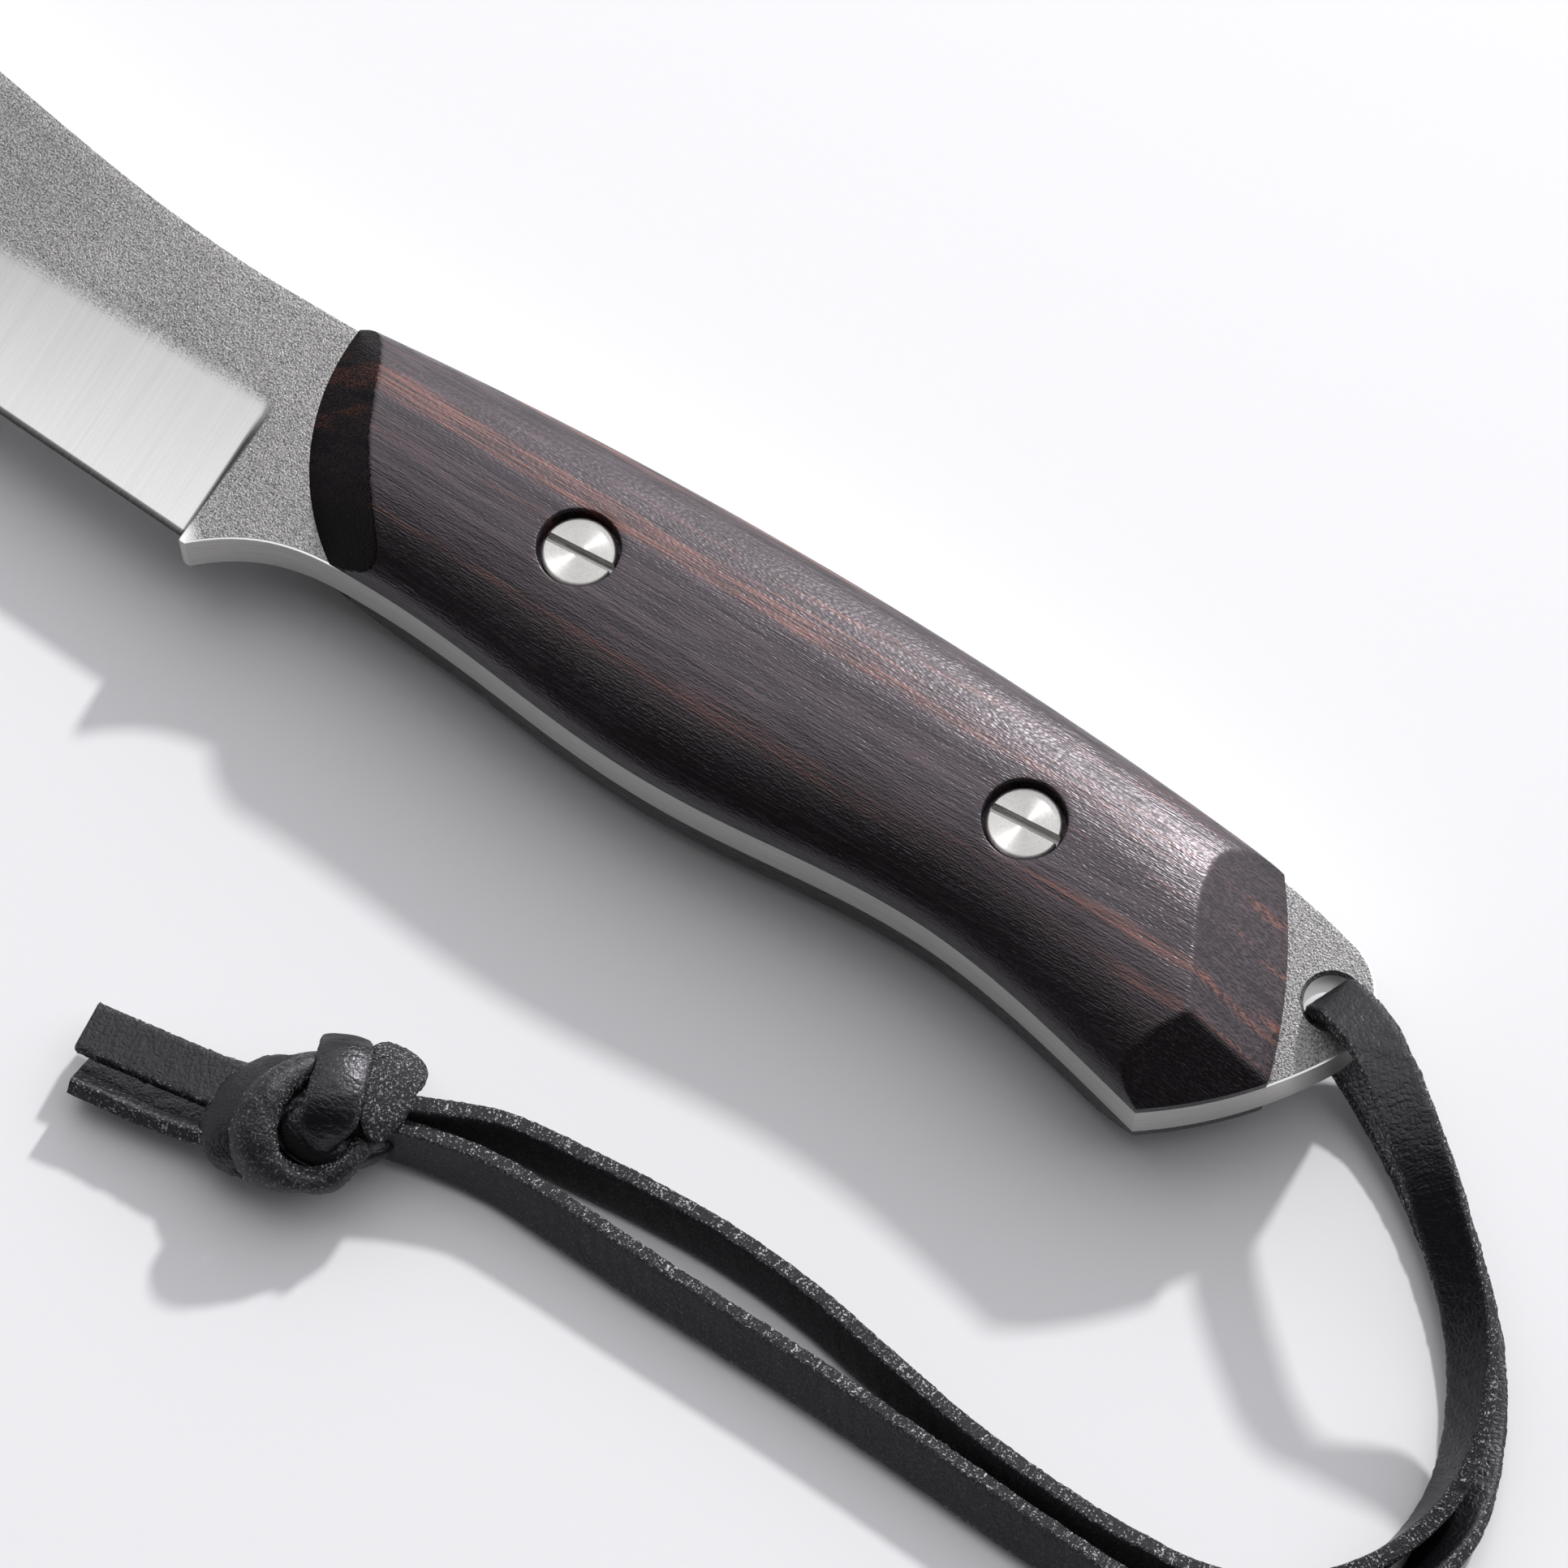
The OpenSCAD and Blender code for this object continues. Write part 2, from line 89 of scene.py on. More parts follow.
def sheetPart(points, wrap=False, skip=(), **layers):
    # a grid of points as one part of a mesh, a face to a cell; wrap joins the last point of a row to the first,
    # skip lists blocks of cells (i0, i1, j0, j1) that are left open
    points = np.asarray(points, float)
    rows, along = points.shape[:2]
    i, j = np.indices((rows - 1, along if wrap else along - 1))
    keep = np.ones(i.shape, bool)
    for i0, i1, j0, j1 in skip:
        keep[i0:i1, j0:j1] = False
    k = (j + 1) % along
    quads = np.stack([i * along + j, i * along + k, (i + 1) * along + k, (i + 1) * along + j], -1)
    return points.reshape(-1, 3), quads[keep], layers


def meshFrom(name, parts, sharpAngle, weld=0.0004):
    # joins parts, welds their seams, turns all faces outwards;
    # layers are numbers per point or one number per part's faces
    points = np.concatenate([p for p, q, l in parts])
    starts = np.cumsum([0] + [len(p) for p, q, l in parts[:-1]])
    quads = np.concatenate([q + s for (p, q, l), s in zip(parts, starts)])
    mesh = bpy.data.meshes.new(name)
    mesh.from_pydata((points * mm).tolist(), [], quads.tolist())
    for layer in sorted({k for p, q, l in parts for k in l}):
        values = [np.asarray(l.get(layer, 0.0), float) for p, q, l in parts]
        perPoint = any(v.ndim for v in values)
        sizes = [len(p) if perPoint else len(q) for p, q, l in parts]
        spread = np.concatenate([np.broadcast_to(v.reshape(-1), n) for v, n in zip(values, sizes)])
        attribute = mesh.attributes.new(layer, "FLOAT", "POINT" if perPoint else "FACE")
        attribute.data.foreach_set("value", spread.astype(np.float32))
    work = bmesh.new()
    work.from_mesh(mesh)
    bmesh.ops.remove_doubles(work, verts=work.verts, dist=weld * mm)
    bmesh.ops.dissolve_degenerate(work, edges=work.edges, dist=weld * mm / 4)
    bmesh.ops.holes_fill(work, edges=[e for e in work.edges if e.is_boundary], sides=gapSides)
    bmesh.ops.recalc_face_normals(work, faces=work.faces)
    work.to_mesh(mesh)
    work.free()
    mesh.shade_smooth()
    mesh.set_sharp_from_angle(angle=math.radians(sharpAngle))
    return addObject(name, mesh)


def readAll(items, key, kind, width=1):
    # one value of every item as an array
    values = np.zeros(len(items) * width, kind)
    items.foreach_get(key, values)
    return values


def xy(points):
    # the two plane coordinates
    return points[..., 0], points[..., 1]


def lift(plan, z):
    # plane points with a height added
    return np.concatenate([plan, np.broadcast_to(z, plan.shape[:-1])[..., None]], -1)


def unit(v):
    # vectors brought to length 1
    return v / np.maximum(np.linalg.norm(v, axis=-1, keepdims=True), 1e-9)


def around(turn):
    # places on a circle of radius 1
    return np.stack([np.cos(turn), np.sin(turn)], -1)


def runs(stops, counts):
    # even steps from stop to stop, each stop once
    return np.concatenate([stops[:1], *(np.linspace(a, b, n)[1:] for a, b, n in zip(stops, stops[1:], counts))])


def circleAt(loop, centre, radius):
    # a circle with a point towards each point of a loop
    return np.array(centre) + radius * around(np.arctan2(loop[:, 1] - centre[1], loop[:, 0] - centre[0]))


def ringsAround(loop, centre, radius, count, power=1.0):
    # rings from a round hole out to a closed loop, closer together at the hole
    circle = circleAt(loop, centre, radius)
    return circle + (np.linspace(0, 1, count) ** power)[:, None, None] * (loop - circle)


def blockLoop(plan, i0, i1, j0, j1):
    # the points round a block of grid cells, once about
    return np.concatenate([plan[i0, j0:j1], plan[i0:i1, j1], plan[i1, j1:j0:-1], plan[i1:i0:-1, j0]])


def softMin(a, b, k):
    # the lower of two heights with a rounded corner of size k
    near = np.clip(k - np.abs(a - b), 0, None) / k
    return np.minimum(a, b) - near * near * k / 4


def smooth(t):
    # 0 to 1 with level ends
    t = np.clip(t, 0, 1)
    return t * t * (3 - 2 * t)


# outline of the knife, the same curves as the part's source

handleShape = {
    "handleLength": 131.8, "frontReach": 63.4, "spineHeight": 12.0, "archRise": 3.0, "archBack": 19.5,
    "neck": (17.4, 12.5), "swell": (53.9, 15.2), "waist": (84.5, 13.2), "corner": (15.3, 18.8),  # place, depth
    "flareCube": 0.6, "endRadius": 8.0, "endHeight": 1.5, "topRadius": 100.0, "lowRadius": 50.0,
    "plateMiddle": 9.8, "plateHalf": 3.0, "scaleThickness": 6.8,
    "bolts": ((-27.75, 1.0), (27.75, 0.2)), "barrelHole": 2.75,
    "laceHole": (63.9, 2.5), "laceHoleRadius": 3.0, "laceHoleChamfer": 0.4,
}
bladeShape = {
    "ricasso": 3.2, "bladeLength": 120.0, "heelLength": 1.6, "heelDrop": 6.3, "heelRadius": 1.2,
    "edgeDepth": 17.4, "edgeClimb": 3.15, "edgeStraight": 48.0, "edgeRadius": 150.0,
    "bevelHeel": 17.6, "bevelBelly": 14.2, "riseStart": 4.9, "humpPlace": 83.4, "humpRise": 8.8,
    # the keen edge's fade and, below, the plunge's foot and fade spread a painted shade over the steel
    "edgeHalf": 0.2, "keenHalf": 0.03, "keenWidth": 0.75, "keenFade": 0.3,
    "chamfer": 0.04, "chamferIn": 0.24, "grindRound": 0.14, "grindReach": 0.9, "grindFade": 2.5, "hollow": 0.16,
    "plungeStart": -65.75, "plungeWidth": 1.0, "plungeCorner": 1.9, "plungeFoot": 0.4, "plungeFade": 6.0,
    # how far and how strongly a painted highlight lightens the flats round the heel
    "heelPolish": 4.8, "polish": 0.3,
}

hs, bs = SimpleNamespace(**handleShape), SimpleNamespace(**bladeShape)
frontX, buttX = -hs.frontReach, hs.handleLength - hs.frontReach
neckX, swellX, waistX = (frontX + place for place, depth in (hs.neck, hs.swell, hs.waist))
neckDepth, swellDepth, waistDepth, cornerDepth = (depth for place, depth in (hs.neck, hs.swell, hs.waist, hs.corner))
cornerX = buttX - hs.corner[0]
plungeX = frontX - bs.ricasso
heelX, tipX = plungeX + bs.heelLength, plungeX - bs.bladeLength


def ease(t):
    # half a cosine wave from 0 to 1
    return (1 - np.cos(np.pi * np.clip(t, 0, 1))) / 2


def gripY(x):
    # belly of the grip: neck, swell and waist joined by half cosine waves, then a part square, part cubic flare
    flare = np.clip((x - waistX) / (cornerX - waistX), 0, None)
    return (-neckDepth - (swellDepth - neckDepth) * ease((x - neckX) / (swellX - neckX))
            + (swellDepth - waistDepth) * ease((x - swellX) / (waistX - swellX))
            - (cornerDepth - waistDepth) * flare * flare * (1 + hs.flareCube - hs.flareCube * flare))


def onArc(x, centre, radius, side=1):
    # height of a circle over x, above its centre or, with side -1, below it
    return centre[1] + side * np.sqrt(np.clip(radius ** 2 - (x - centre[0]) ** 2, 0, None))


def meetCircles(a, radiusA, b, radiusB, side):
    # the point at radiusA from a and radiusB from b, on the given side of the line from a to b
    reach = np.linalg.norm(b - a)
    way = (b - a) / reach
    along = (radiusA ** 2 - radiusB ** 2 + reach ** 2) / (2 * reach)
    across = math.sqrt(max(0, radiusA ** 2 - along ** 2))
    return a + along * way + side * across * np.array([-way[1], way[0]])


def turnTo(a, b):
    # direction from a to b
    return math.atan2(*(b - a)[::-1])


archHalf = (hs.handleLength - hs.archBack) / 2
archRadius = (archHalf ** 2 + hs.archRise ** 2) / (2 * hs.archRise)
archCentre = np.array([frontX + archHalf, hs.spineHeight + hs.archRise - archRadius])
endCentre = np.array([buttX - hs.endRadius, hs.endHeight])
topCentre = meetCircles(archCentre, archRadius - hs.topRadius, endCentre, hs.topRadius - hs.endRadius, 1)
topTurn = turnTo(topCentre, endCentre)
joinX = topCentre[0] + hs.topRadius * math.cos(turnTo(archCentre, topCentre))
corner = np.array([cornerX, -cornerDepth])
lowCentre = meetCircles(endCentre, hs.lowRadius - hs.endRadius, corner, hs.lowRadius, -1)
lowStart = turnTo(lowCentre, endCentre)
climb = math.radians(bs.edgeClimb)
edgeStart = np.array([plungeX, -bs.edgeDepth])
edgeBend = edgeStart + bs.edgeStraight * np.array([-math.cos(climb), math.sin(climb)])
edgeCentre = edgeBend + bs.edgeRadius * np.array([math.sin(climb), math.cos(climb)])
tipY = onArc(tipX, edgeCentre, bs.edgeRadius, -1)
riseX, humpX = plungeX - bs.riseStart, plungeX - bs.humpPlace


def topY(x):
    # spine of the handle: a shallow circle, then a rounder one that runs into the end of the butt
    return np.where(x < joinX, onArc(x, archCentre, archRadius), onArc(x, topCentre, hs.topRadius))


def spineY(x):
    # blade's spine: level, a half cosine rise to the hump, then a square fall to the tip; the handle's spine behind it
    def rise(x):
        return hs.spineHeight + bs.humpRise * ease((riseX - x) / (riseX - humpX))
    fall = np.clip((humpX - x) / (humpX - tipX), 0, None) ** 2
    return np.where(x < frontX, rise(x) - (rise(tipX) - tipY) * fall, topY(np.maximum(x, frontX)))


def alongEdge(x, depth):
    # height y of the line that runs at a depth inside the cutting edge: a straight run, then a circle
    straight = edgeStart[1] + (plungeX - x) * math.tan(climb) + depth / math.cos(climb)
    bendX = edgeBend[0] + depth * math.sin(climb)
    return np.where(x > bendX, straight, onArc(x, edgeCentre, bs.edgeRadius - depth, -1))


def edgeDepthAt(x, y):
    # how far a point lies inside the cutting edge
    straight = (y - edgeStart[1]) * math.cos(climb) - (plungeX - x) * math.sin(climb)
    curved = bs.edgeRadius - np.hypot(x - edgeCentre[0], y - edgeCentre[1])
    bend = (x - edgeBend[0]) * math.cos(climb) - (y - edgeBend[1]) * math.sin(climb)
    return np.where(bend > 0, straight, curved)


def bevelWidth(x):
    # runs evenly from its width at the heel to its width at the bend, and stays so to the tip
    share = np.clip((plungeX - x) / (plungeX - edgeBend[0]), 0, 1)
    return bs.bevelHeel + (bs.bevelBelly - bs.bevelHeel) * share


def insideBevel(x, y):
    # how far a point lies below the grind line
    return bevelWidth(x) - edgeDepthAt(x, y)


def lowY(x):
    # lower outline: cutting edge, heel corner, belly of the tang, lower butt edge
    heelLow = gripY(heelX) - bs.heelDrop
    r = bs.heelRadius
    heel = heelLow + r - np.sqrt(np.clip(r * r - np.clip(plungeX + r - x, 0, r) ** 2, 0, None))
    belly = gripY(x) - bs.heelDrop * np.clip((neckX - x) / (neckX - heelX), 0, None) ** 3
    butt = onArc(x, lowCentre, hs.lowRadius, -1)
    tang = np.where(x < heelX, np.maximum(heel, belly), np.where(x < cornerX, belly, butt))
    return np.where(x < plungeX, alongEdge(x, 0.0), tang)


def plungeShare(x, y):
    # 1 on the ground blade, 0 on the ricasso; the step turns off along a quarter circle where it meets the grind line
    r = bs.plungeCorner
    inside = np.clip(insideBevel(x, y), 0, r)
    shift = r - np.sqrt(r * r - (r - inside) ** 2)
    return smooth((bs.plungeStart - shift - x) / bs.plungeWidth)


def plateHeight(x, y):
    # half thickness: flat, slightly hollow bevel or keen edge, whichever is lowest, fading out through the plunge
    depth = np.clip(edgeDepthAt(x, y), 0, None)
    slope = (hs.plateHalf - bs.edgeHalf) / bevelWidth(x)
    u = np.clip(depth / bevelWidth(x), 0, 1)
    hollow = bs.edgeHalf + slope * depth - 4 * bs.hollow * u * (1 - u)
    bevel = softMin(hollow, hs.plateHalf + 0 * x, bs.grindRound)
    keenSlope = (bs.edgeHalf - bs.keenHalf) / bs.keenWidth + slope
    ground = np.minimum(bevel, bs.keenHalf + keenSlope * depth)
    return hs.plateHalf + (ground - hs.plateHalf) * plungeShare(x, y)


def groundShare(x, y):
    # 1 on the brushed bevel, 0 on the blasted flats, with a soft border along the grind line
    return smooth((insideBevel(x, y) + bs.grindReach) / bs.grindFade) * plungeShare(x, y)


def paintedEdgeShadeShare(x, y):
    # 1 on the keen edge, on the step of the plunge and along its foot, where a dark colour is painted as shade
    keen = smooth((bs.keenWidth - edgeDepthAt(x, y)) / bs.keenFade) * (x < plungeX)
    inside = smooth(insideBevel(x, y) / bs.plungeFade)
    steps = [plungeShare(x + shift, y) for shift in (0, bs.plungeFoot)]
    return np.maximum.reduce([keen, *(inside * smooth(6 * step * (1 - step)) for step in steps)])


def boltSeams(half):
    # places along the handle at a distance before and behind each bolt
    return [bolt[0] + s * half for bolt in hs.bolts for s in (-1, 1)]


def boltBlocks(columns, half, first, last):
    # the block of grid cells round each bolt
    seams = [int(np.argmin(np.abs(columns - x))) for x in boltSeams(half)]
    return [(i0, i1, first, last) for i0, i1 in zip(seams[::2], seams[1::2])]


# steel plate: a grid from the tip to the butt, rings round the bolt holes, and a fan round the lace hole

plateGrid = {
    "tipRun": 12.0, "tipCount": 30, "tipPower": 1.8, "plunge": (-1.2, 1.6), "plungeGap": 0.001, "seamX": (54.2, 55.2),
    "counts": (110, 40, 10, 26, 11, 30, 11, 22),  # columns from stop to stop
    "holeHalf": 6.25, "holeRows": 10,  # opening round a bolt and the rows left on either side of it
    "bevelRows": (0.06, 0.8, 11), "grindRows": (0.83, 1.17, 20), "flatRows": 12,  # shares of the bevel's width
    "evenFrom": 2.0, "evenRun": 8.0,  # behind the plunge the rows turn even
    "boltRings": (8, 1.2), "laceRings": (14, 1.3), "buttCounts": (8, 60, 22),
}
pg = SimpleNamespace(**plateGrid)


def plateColumns():
    # places along the plate, close together at the tip, the plunge and the butt corner
    tipEnd = tipX + pg.tipRun
    stops = [tipEnd, plungeX + pg.plunge[0], plungeX + pg.plunge[1], frontX, *boltSeams(pg.holeHalf), cornerX]
    tip = tipX + pg.tipRun * np.linspace(0, 1, pg.tipCount) ** pg.tipPower
    step = [plungeX - pg.plungeGap, plungeX + pg.plungeGap]
    return np.unique(np.round(np.concatenate([tip, runs(stops, pg.counts), step, pg.seamX]), 4))


def platePlan(xs):
    # rows from the lower outline to the spine: on the blade they keep their depth inside the edge,
    # on the tang their share
    low, high, chamfer = lowY(xs), spineY(xs), bs.chamferIn
    x, base, tall = xs[:, None], low[:, None], (high - low)[:, None]
    share = np.concatenate([np.linspace(*pg.bevelRows), np.linspace(*pg.grindRows)])
    bevelRows = alongEdge(x, share * bevelWidth(x))
    grindTop = bevelRows[:, -1:]
    flatRows = grindTop + (high[:, None] - chamfer - grindTop) * np.linspace(0, 1, pg.flatRows)[1:-1]
    blade = np.concatenate([bevelRows, flatRows], 1)
    count = blade.shape[1]
    row, spread = np.arange(count), count + 4
    blade = np.minimum(blade, base + tall * (row + 2) / spread)
    even = base + chamfer + (tall - 2 * chamfer) * (row + 1) / (count + 1)
    inner = blade + (even - blade) * smooth((x - plungeX - pg.evenFrom) / pg.evenRun)
    clear = base + 1.3 * chamfer + 0.03 * row
    inner = np.where(x > plungeX, np.maximum(inner, clear), inner)
    least = tall[:, 0] / spread
    edgeRows = [
        np.where(xs < plungeX, np.minimum(alongEdge(xs, k * bs.keenWidth), low + k * least), low + k * chamfer)
        for k in (1.0, 1.15)
    ]
    last = high - np.minimum(chamfer, least)
    y = np.concatenate([np.stack([low, *edgeRows], 1), inner, np.stack([last, high], 1)], 1)
    return np.stack([np.broadcast_to(x, y.shape), y], -1)


def buttOutline(seamX):
    # round the butt from the spine to the lower edge: the top run, the rounded end and the lower butt arc
    topFrom = math.acos((seamX - topCentre[0]) / hs.topRadius)
    lowTo = -math.acos((seamX - lowCentre[0]) / hs.lowRadius)
    topCount, endCount, lowCount = pg.buttCounts
    return np.concatenate([
        topCentre + hs.topRadius * around(np.linspace(topFrom, topTurn, topCount))[:-1],
        endCentre + hs.endRadius * around(np.linspace(topTurn, lowStart, endCount))[:-1],
        lowCentre + hs.lowRadius * around(np.linspace(lowStart, lowTo, lowCount)),
    ])


def inset(line, distance):
    # a line moved to its right-hand side
    way = unit(np.gradient(line, axis=0))
    return line + distance * np.stack([way[:, 1], -way[:, 0]], -1)


def makePlate():
    # two faces with thin chamfers, rings round the holes, then the upright walls between the faces
    middle, full, chamfer = hs.plateMiddle, hs.plateHalf, bs.chamfer
    xs = plateColumns()
    plan = platePlan(xs)
    z = plateHeight(*xy(plan))
    tang = xs > plungeX
    z[tang, 0] -= chamfer
    z[:, -1] -= np.minimum(chamfer, z[:, -1] / 3)
    ground = groundShare(*xy(plan))
    ground[:, -1] = 0
    # painted highlight: a pale colour on the flats round the heel, the tang's lower chamfer, the spine's chamfer and
    # the butt's rim
    heelReach = np.hypot(plan[..., 0] - plungeX, plan[..., 1] - lowY(heelX))
    rim = bs.polish * smooth(1 - heelReach / bs.heelPolish) * (1 - ground)
    rim[tang, 0] = rim[:, -1] = 1
    layers = {"ground": ground, "keen": paintedEdgeShadeShare(*xy(plan)), "rim": rim}
    holes = boltBlocks(xs, pg.holeHalf, pg.holeRows, plan.shape[1] - pg.holeRows)
    bores = [(blockLoop(plan, *block), bolt, hs.barrelHole) for bolt, block in zip(hs.bolts, holes)]
    outline = buttOutline(xs[-1])
    inner = inset(outline, bs.chamferIn)
    outline[0], outline[-1] = plan[-1, -1], plan[-1, 0]
    inner[0], inner[-1] = plan[-1, -2], plan[-1, 1]
    laceLoop = np.concatenate([plan[-1, 1:-2], inner[:-1]])
    mouth = circleAt(laceLoop, hs.laceHole, hs.laceHoleRadius)
    fan = ringsAround(laceLoop, hs.laceHole, hs.laceHoleRadius + hs.laceHoleChamfer, *pg.laceRings)
    deep = full - hs.laceHoleChamfer
    parts = []

    def add(points, **way):
        parts.append(sheetPart(points, **way))

    def addWall(line, half, **way):
        add(np.stack([lift(line, middle + half), lift(line, middle - half)]), **way)

    for side in (1, -1):
        top = middle + side * full
        add(lift(plan, middle + side * z), skip=holes, **layers)
        for bore in bores:
            add(lift(ringsAround(*bore, *pg.boltRings), top), wrap=True)
        edgeLines = np.stack([lift(inner, top), lift(outline, middle + side * (full - chamfer))])
        add(edgeLines, rim=np.repeat([0.0, 1.0], len(inner)))
        add(lift(fan, top), wrap=True)
        add(np.stack([lift(fan[0], top), lift(mouth, middle + side * deep)]), wrap=True)
    addWall(mouth, deep, wrap=True, wall=1.0)
    for bore in bores:
        addWall(circleAt(*bore), full, wrap=True, wall=1.0)
    for wall, line in ((1.0, np.s_[:, 0]), (1.0, np.s_[:, -1]), (0.0, np.s_[0])):
        addWall(plan[line], z[line], wall=wall, **{k: np.tile(v[line], 2) for k, v in layers.items()})
    addWall(outline, full - chamfer, wall=1.0, rim=1.0)
    return meshFrom("bladePlate", parts, sharpAngle=28)


plate = makePlate()
print("plate:", len(plate.data.polygons), "faces")


# wooden scales: a section carried along the handle, cut by three cones for the facets

scaleShape = {
    "upperPower": 2.0, "lowerPower": 5.0, "crown": 6.9, "sideLand": 1.0, "crownRound": 0.08, "edgeRound": 0.18,
    "front": {"radius": 28.1, "centreHeight": 11.0, "slope": 45.0, "fade": 0.25},
    "rear": {"middle": (59.2, 0.8), "radius": 64.0, "turn": 26.0, "slope": 29.5, "fade": 0.6},
    "low": {"radius": 50.0, "slope": 34.0, "fade": 0.5},
    "frontTo": -30.0, "rearFrom": 32.0, "clear": 99.0,  # the handle's ends, and a height above everything between them
    # bellyStart and bellyFade place the wood's painted shade, in shares across the handle from the belly
    "endWall": 1.2, "bellyStart": -0.15, "bellyFade": 0.6,
    "counterbore": 4.5, "seat": 3.6, "rimRound": 0.14, "rimDeep": 1.2,
}
scaleGrid = {
    "lowRows": (0, 0.012, 0.03), "midRows": (0.055, 0.945, 84), "highRows": (0.97, 0.988, 1),  # shares of half a turn
    "frontRuns": ((0, 0.54, 1), (76, 18)), "boltCounts": (21, 36, 21), "rearRuns": ((0, 0.3, 1), (9, 100)),
    "holeHalf": 7.5, "holeRows": (16, 17), "boltRings": (9, 1.1), "underRings": 4, "rimSteps": 5,
}
ss, sg = SimpleNamespace(**scaleShape), SimpleNamespace(**scaleGrid)
frontY, rearTurn = ss.front["centreHeight"], math.radians(ss.rear["turn"])
frontCentre = np.array([frontX + math.sqrt(ss.front["radius"] ** 2 - (hs.spineHeight - frontY) ** 2), frontY])
rearCentre = np.array(ss.rear["middle"]) - ss.rear["radius"] * np.array([math.cos(rearTurn), math.sin(rearTurn)])
facetPlace = {"front": (frontCentre, 0), "rear": (rearCentre, ss.endWall), "low": (lowCentre, ss.endWall)}
# the front facet's layer picks the second wood material, the low facet's joins the belly's painted shade
facetTone = {"endGrain": "front", "belly": "low", "rearFacet": "rear"}


def facetHeight(x, y, end):
    # a cone that falls from its middle to the wall's height at its radius; out of the way beyond its own end
    facet, (centre, wall) = scaleShape[end], facetPlace[end]
    cone = wall + (facet["radius"] - np.hypot(x - centre[0], y - centre[1])) * math.tan(math.radians(facet["slope"]))
    return np.where(x < ss.frontTo if end == "front" else x > ss.rearFrom, cone, ss.clear)


def acrossShare(x, y):
    # place across the handle, -1 at the belly and 1 at the spine
    low, high = gripY(x), topY(x)
    return np.clip((y - (high + low) / 2) / ((high - low) / 2), -1, 1)


def scaleHeight(x, y, power):
    # height above the plate: an upright land, a superellipse with a flat crown, and a cone for each facet,
    # the lowest of them all, edges rounded
    dome = ss.sideLand + (ss.crown - ss.sideLand) * (1 - np.abs(acrossShare(x, y)) ** power) ** (1 / power)
    front, rear, low = (facetHeight(x, y, end) for end in facetPlace)
    z = softMin(softMin(dome, hs.scaleThickness + 0 * x, ss.crownRound), front, ss.edgeRound)
    return np.clip(softMin(z, softMin(rear, low, ss.edgeRound), ss.edgeRound), 0, None)


def scalePlan():
    # rows follow the section's angle; columns run from the front arc to straight ones at the bolts
    # and on to the rear arcs
    side = np.cos(np.pi * np.concatenate([sg.lowRows, np.linspace(*sg.midRows), sg.highRows]))

    def yAt(x):
        low, high = gripY(x), topY(x)
        return (high + low) / 2 - (high - low) / 2 * side

    def rearEdge(y):
        return np.minimum(onArc(y, rearCentre[::-1], ss.rear["radius"]), onArc(y, lowCentre[::-1], ss.low["radius"]))

    seams = boltSeams(sg.holeHalf)
    t = runs(*sg.frontRuns)[:, None]
    x = frontX + (seams[0] - frontX) * t + 0 * side
    for step in range(8):  # the row's place and the arc's place settle on each other
        edge = onArc(yAt(x[:1] + 0 * x), frontCentre[::-1], ss.front["radius"], -1)
        x = edge + (seams[0] - edge) * t
    edgeY = yAt(np.full_like(side, cornerX))
    for step in range(30):
        edgeY = yAt(rearEdge(edgeY))
    between = runs(seams, sg.boltCounts)[1:, None] + 0 * side
    back = seams[-1] + (rearEdge(edgeY) - seams[-1]) * runs(*sg.rearRuns)[1:, None]
    x = np.concatenate([x, between, back])
    return np.stack([x, yAt(x)], -1)


def woodPart(points, power, **way):
    # a sheet with its tones: 1 on a facet, where its cone is the lowest surface, fading into the crown;
    # the belly's tone also rises down the lower side, and there the wood gets a painted shade
    x, y = xy(points)
    z = scaleHeight(x, y, power)
    tones = {
        tone: smooth(1 - (facetHeight(x, y, end) - z) / scaleShape[end]["fade"]) for tone, end in facetTone.items()
    }
    tones["belly"] = np.maximum(smooth((ss.bellyStart - acrossShare(x, y)) / ss.bellyFade), tones["belly"])
    return sheetPart(points, **way, **tones)


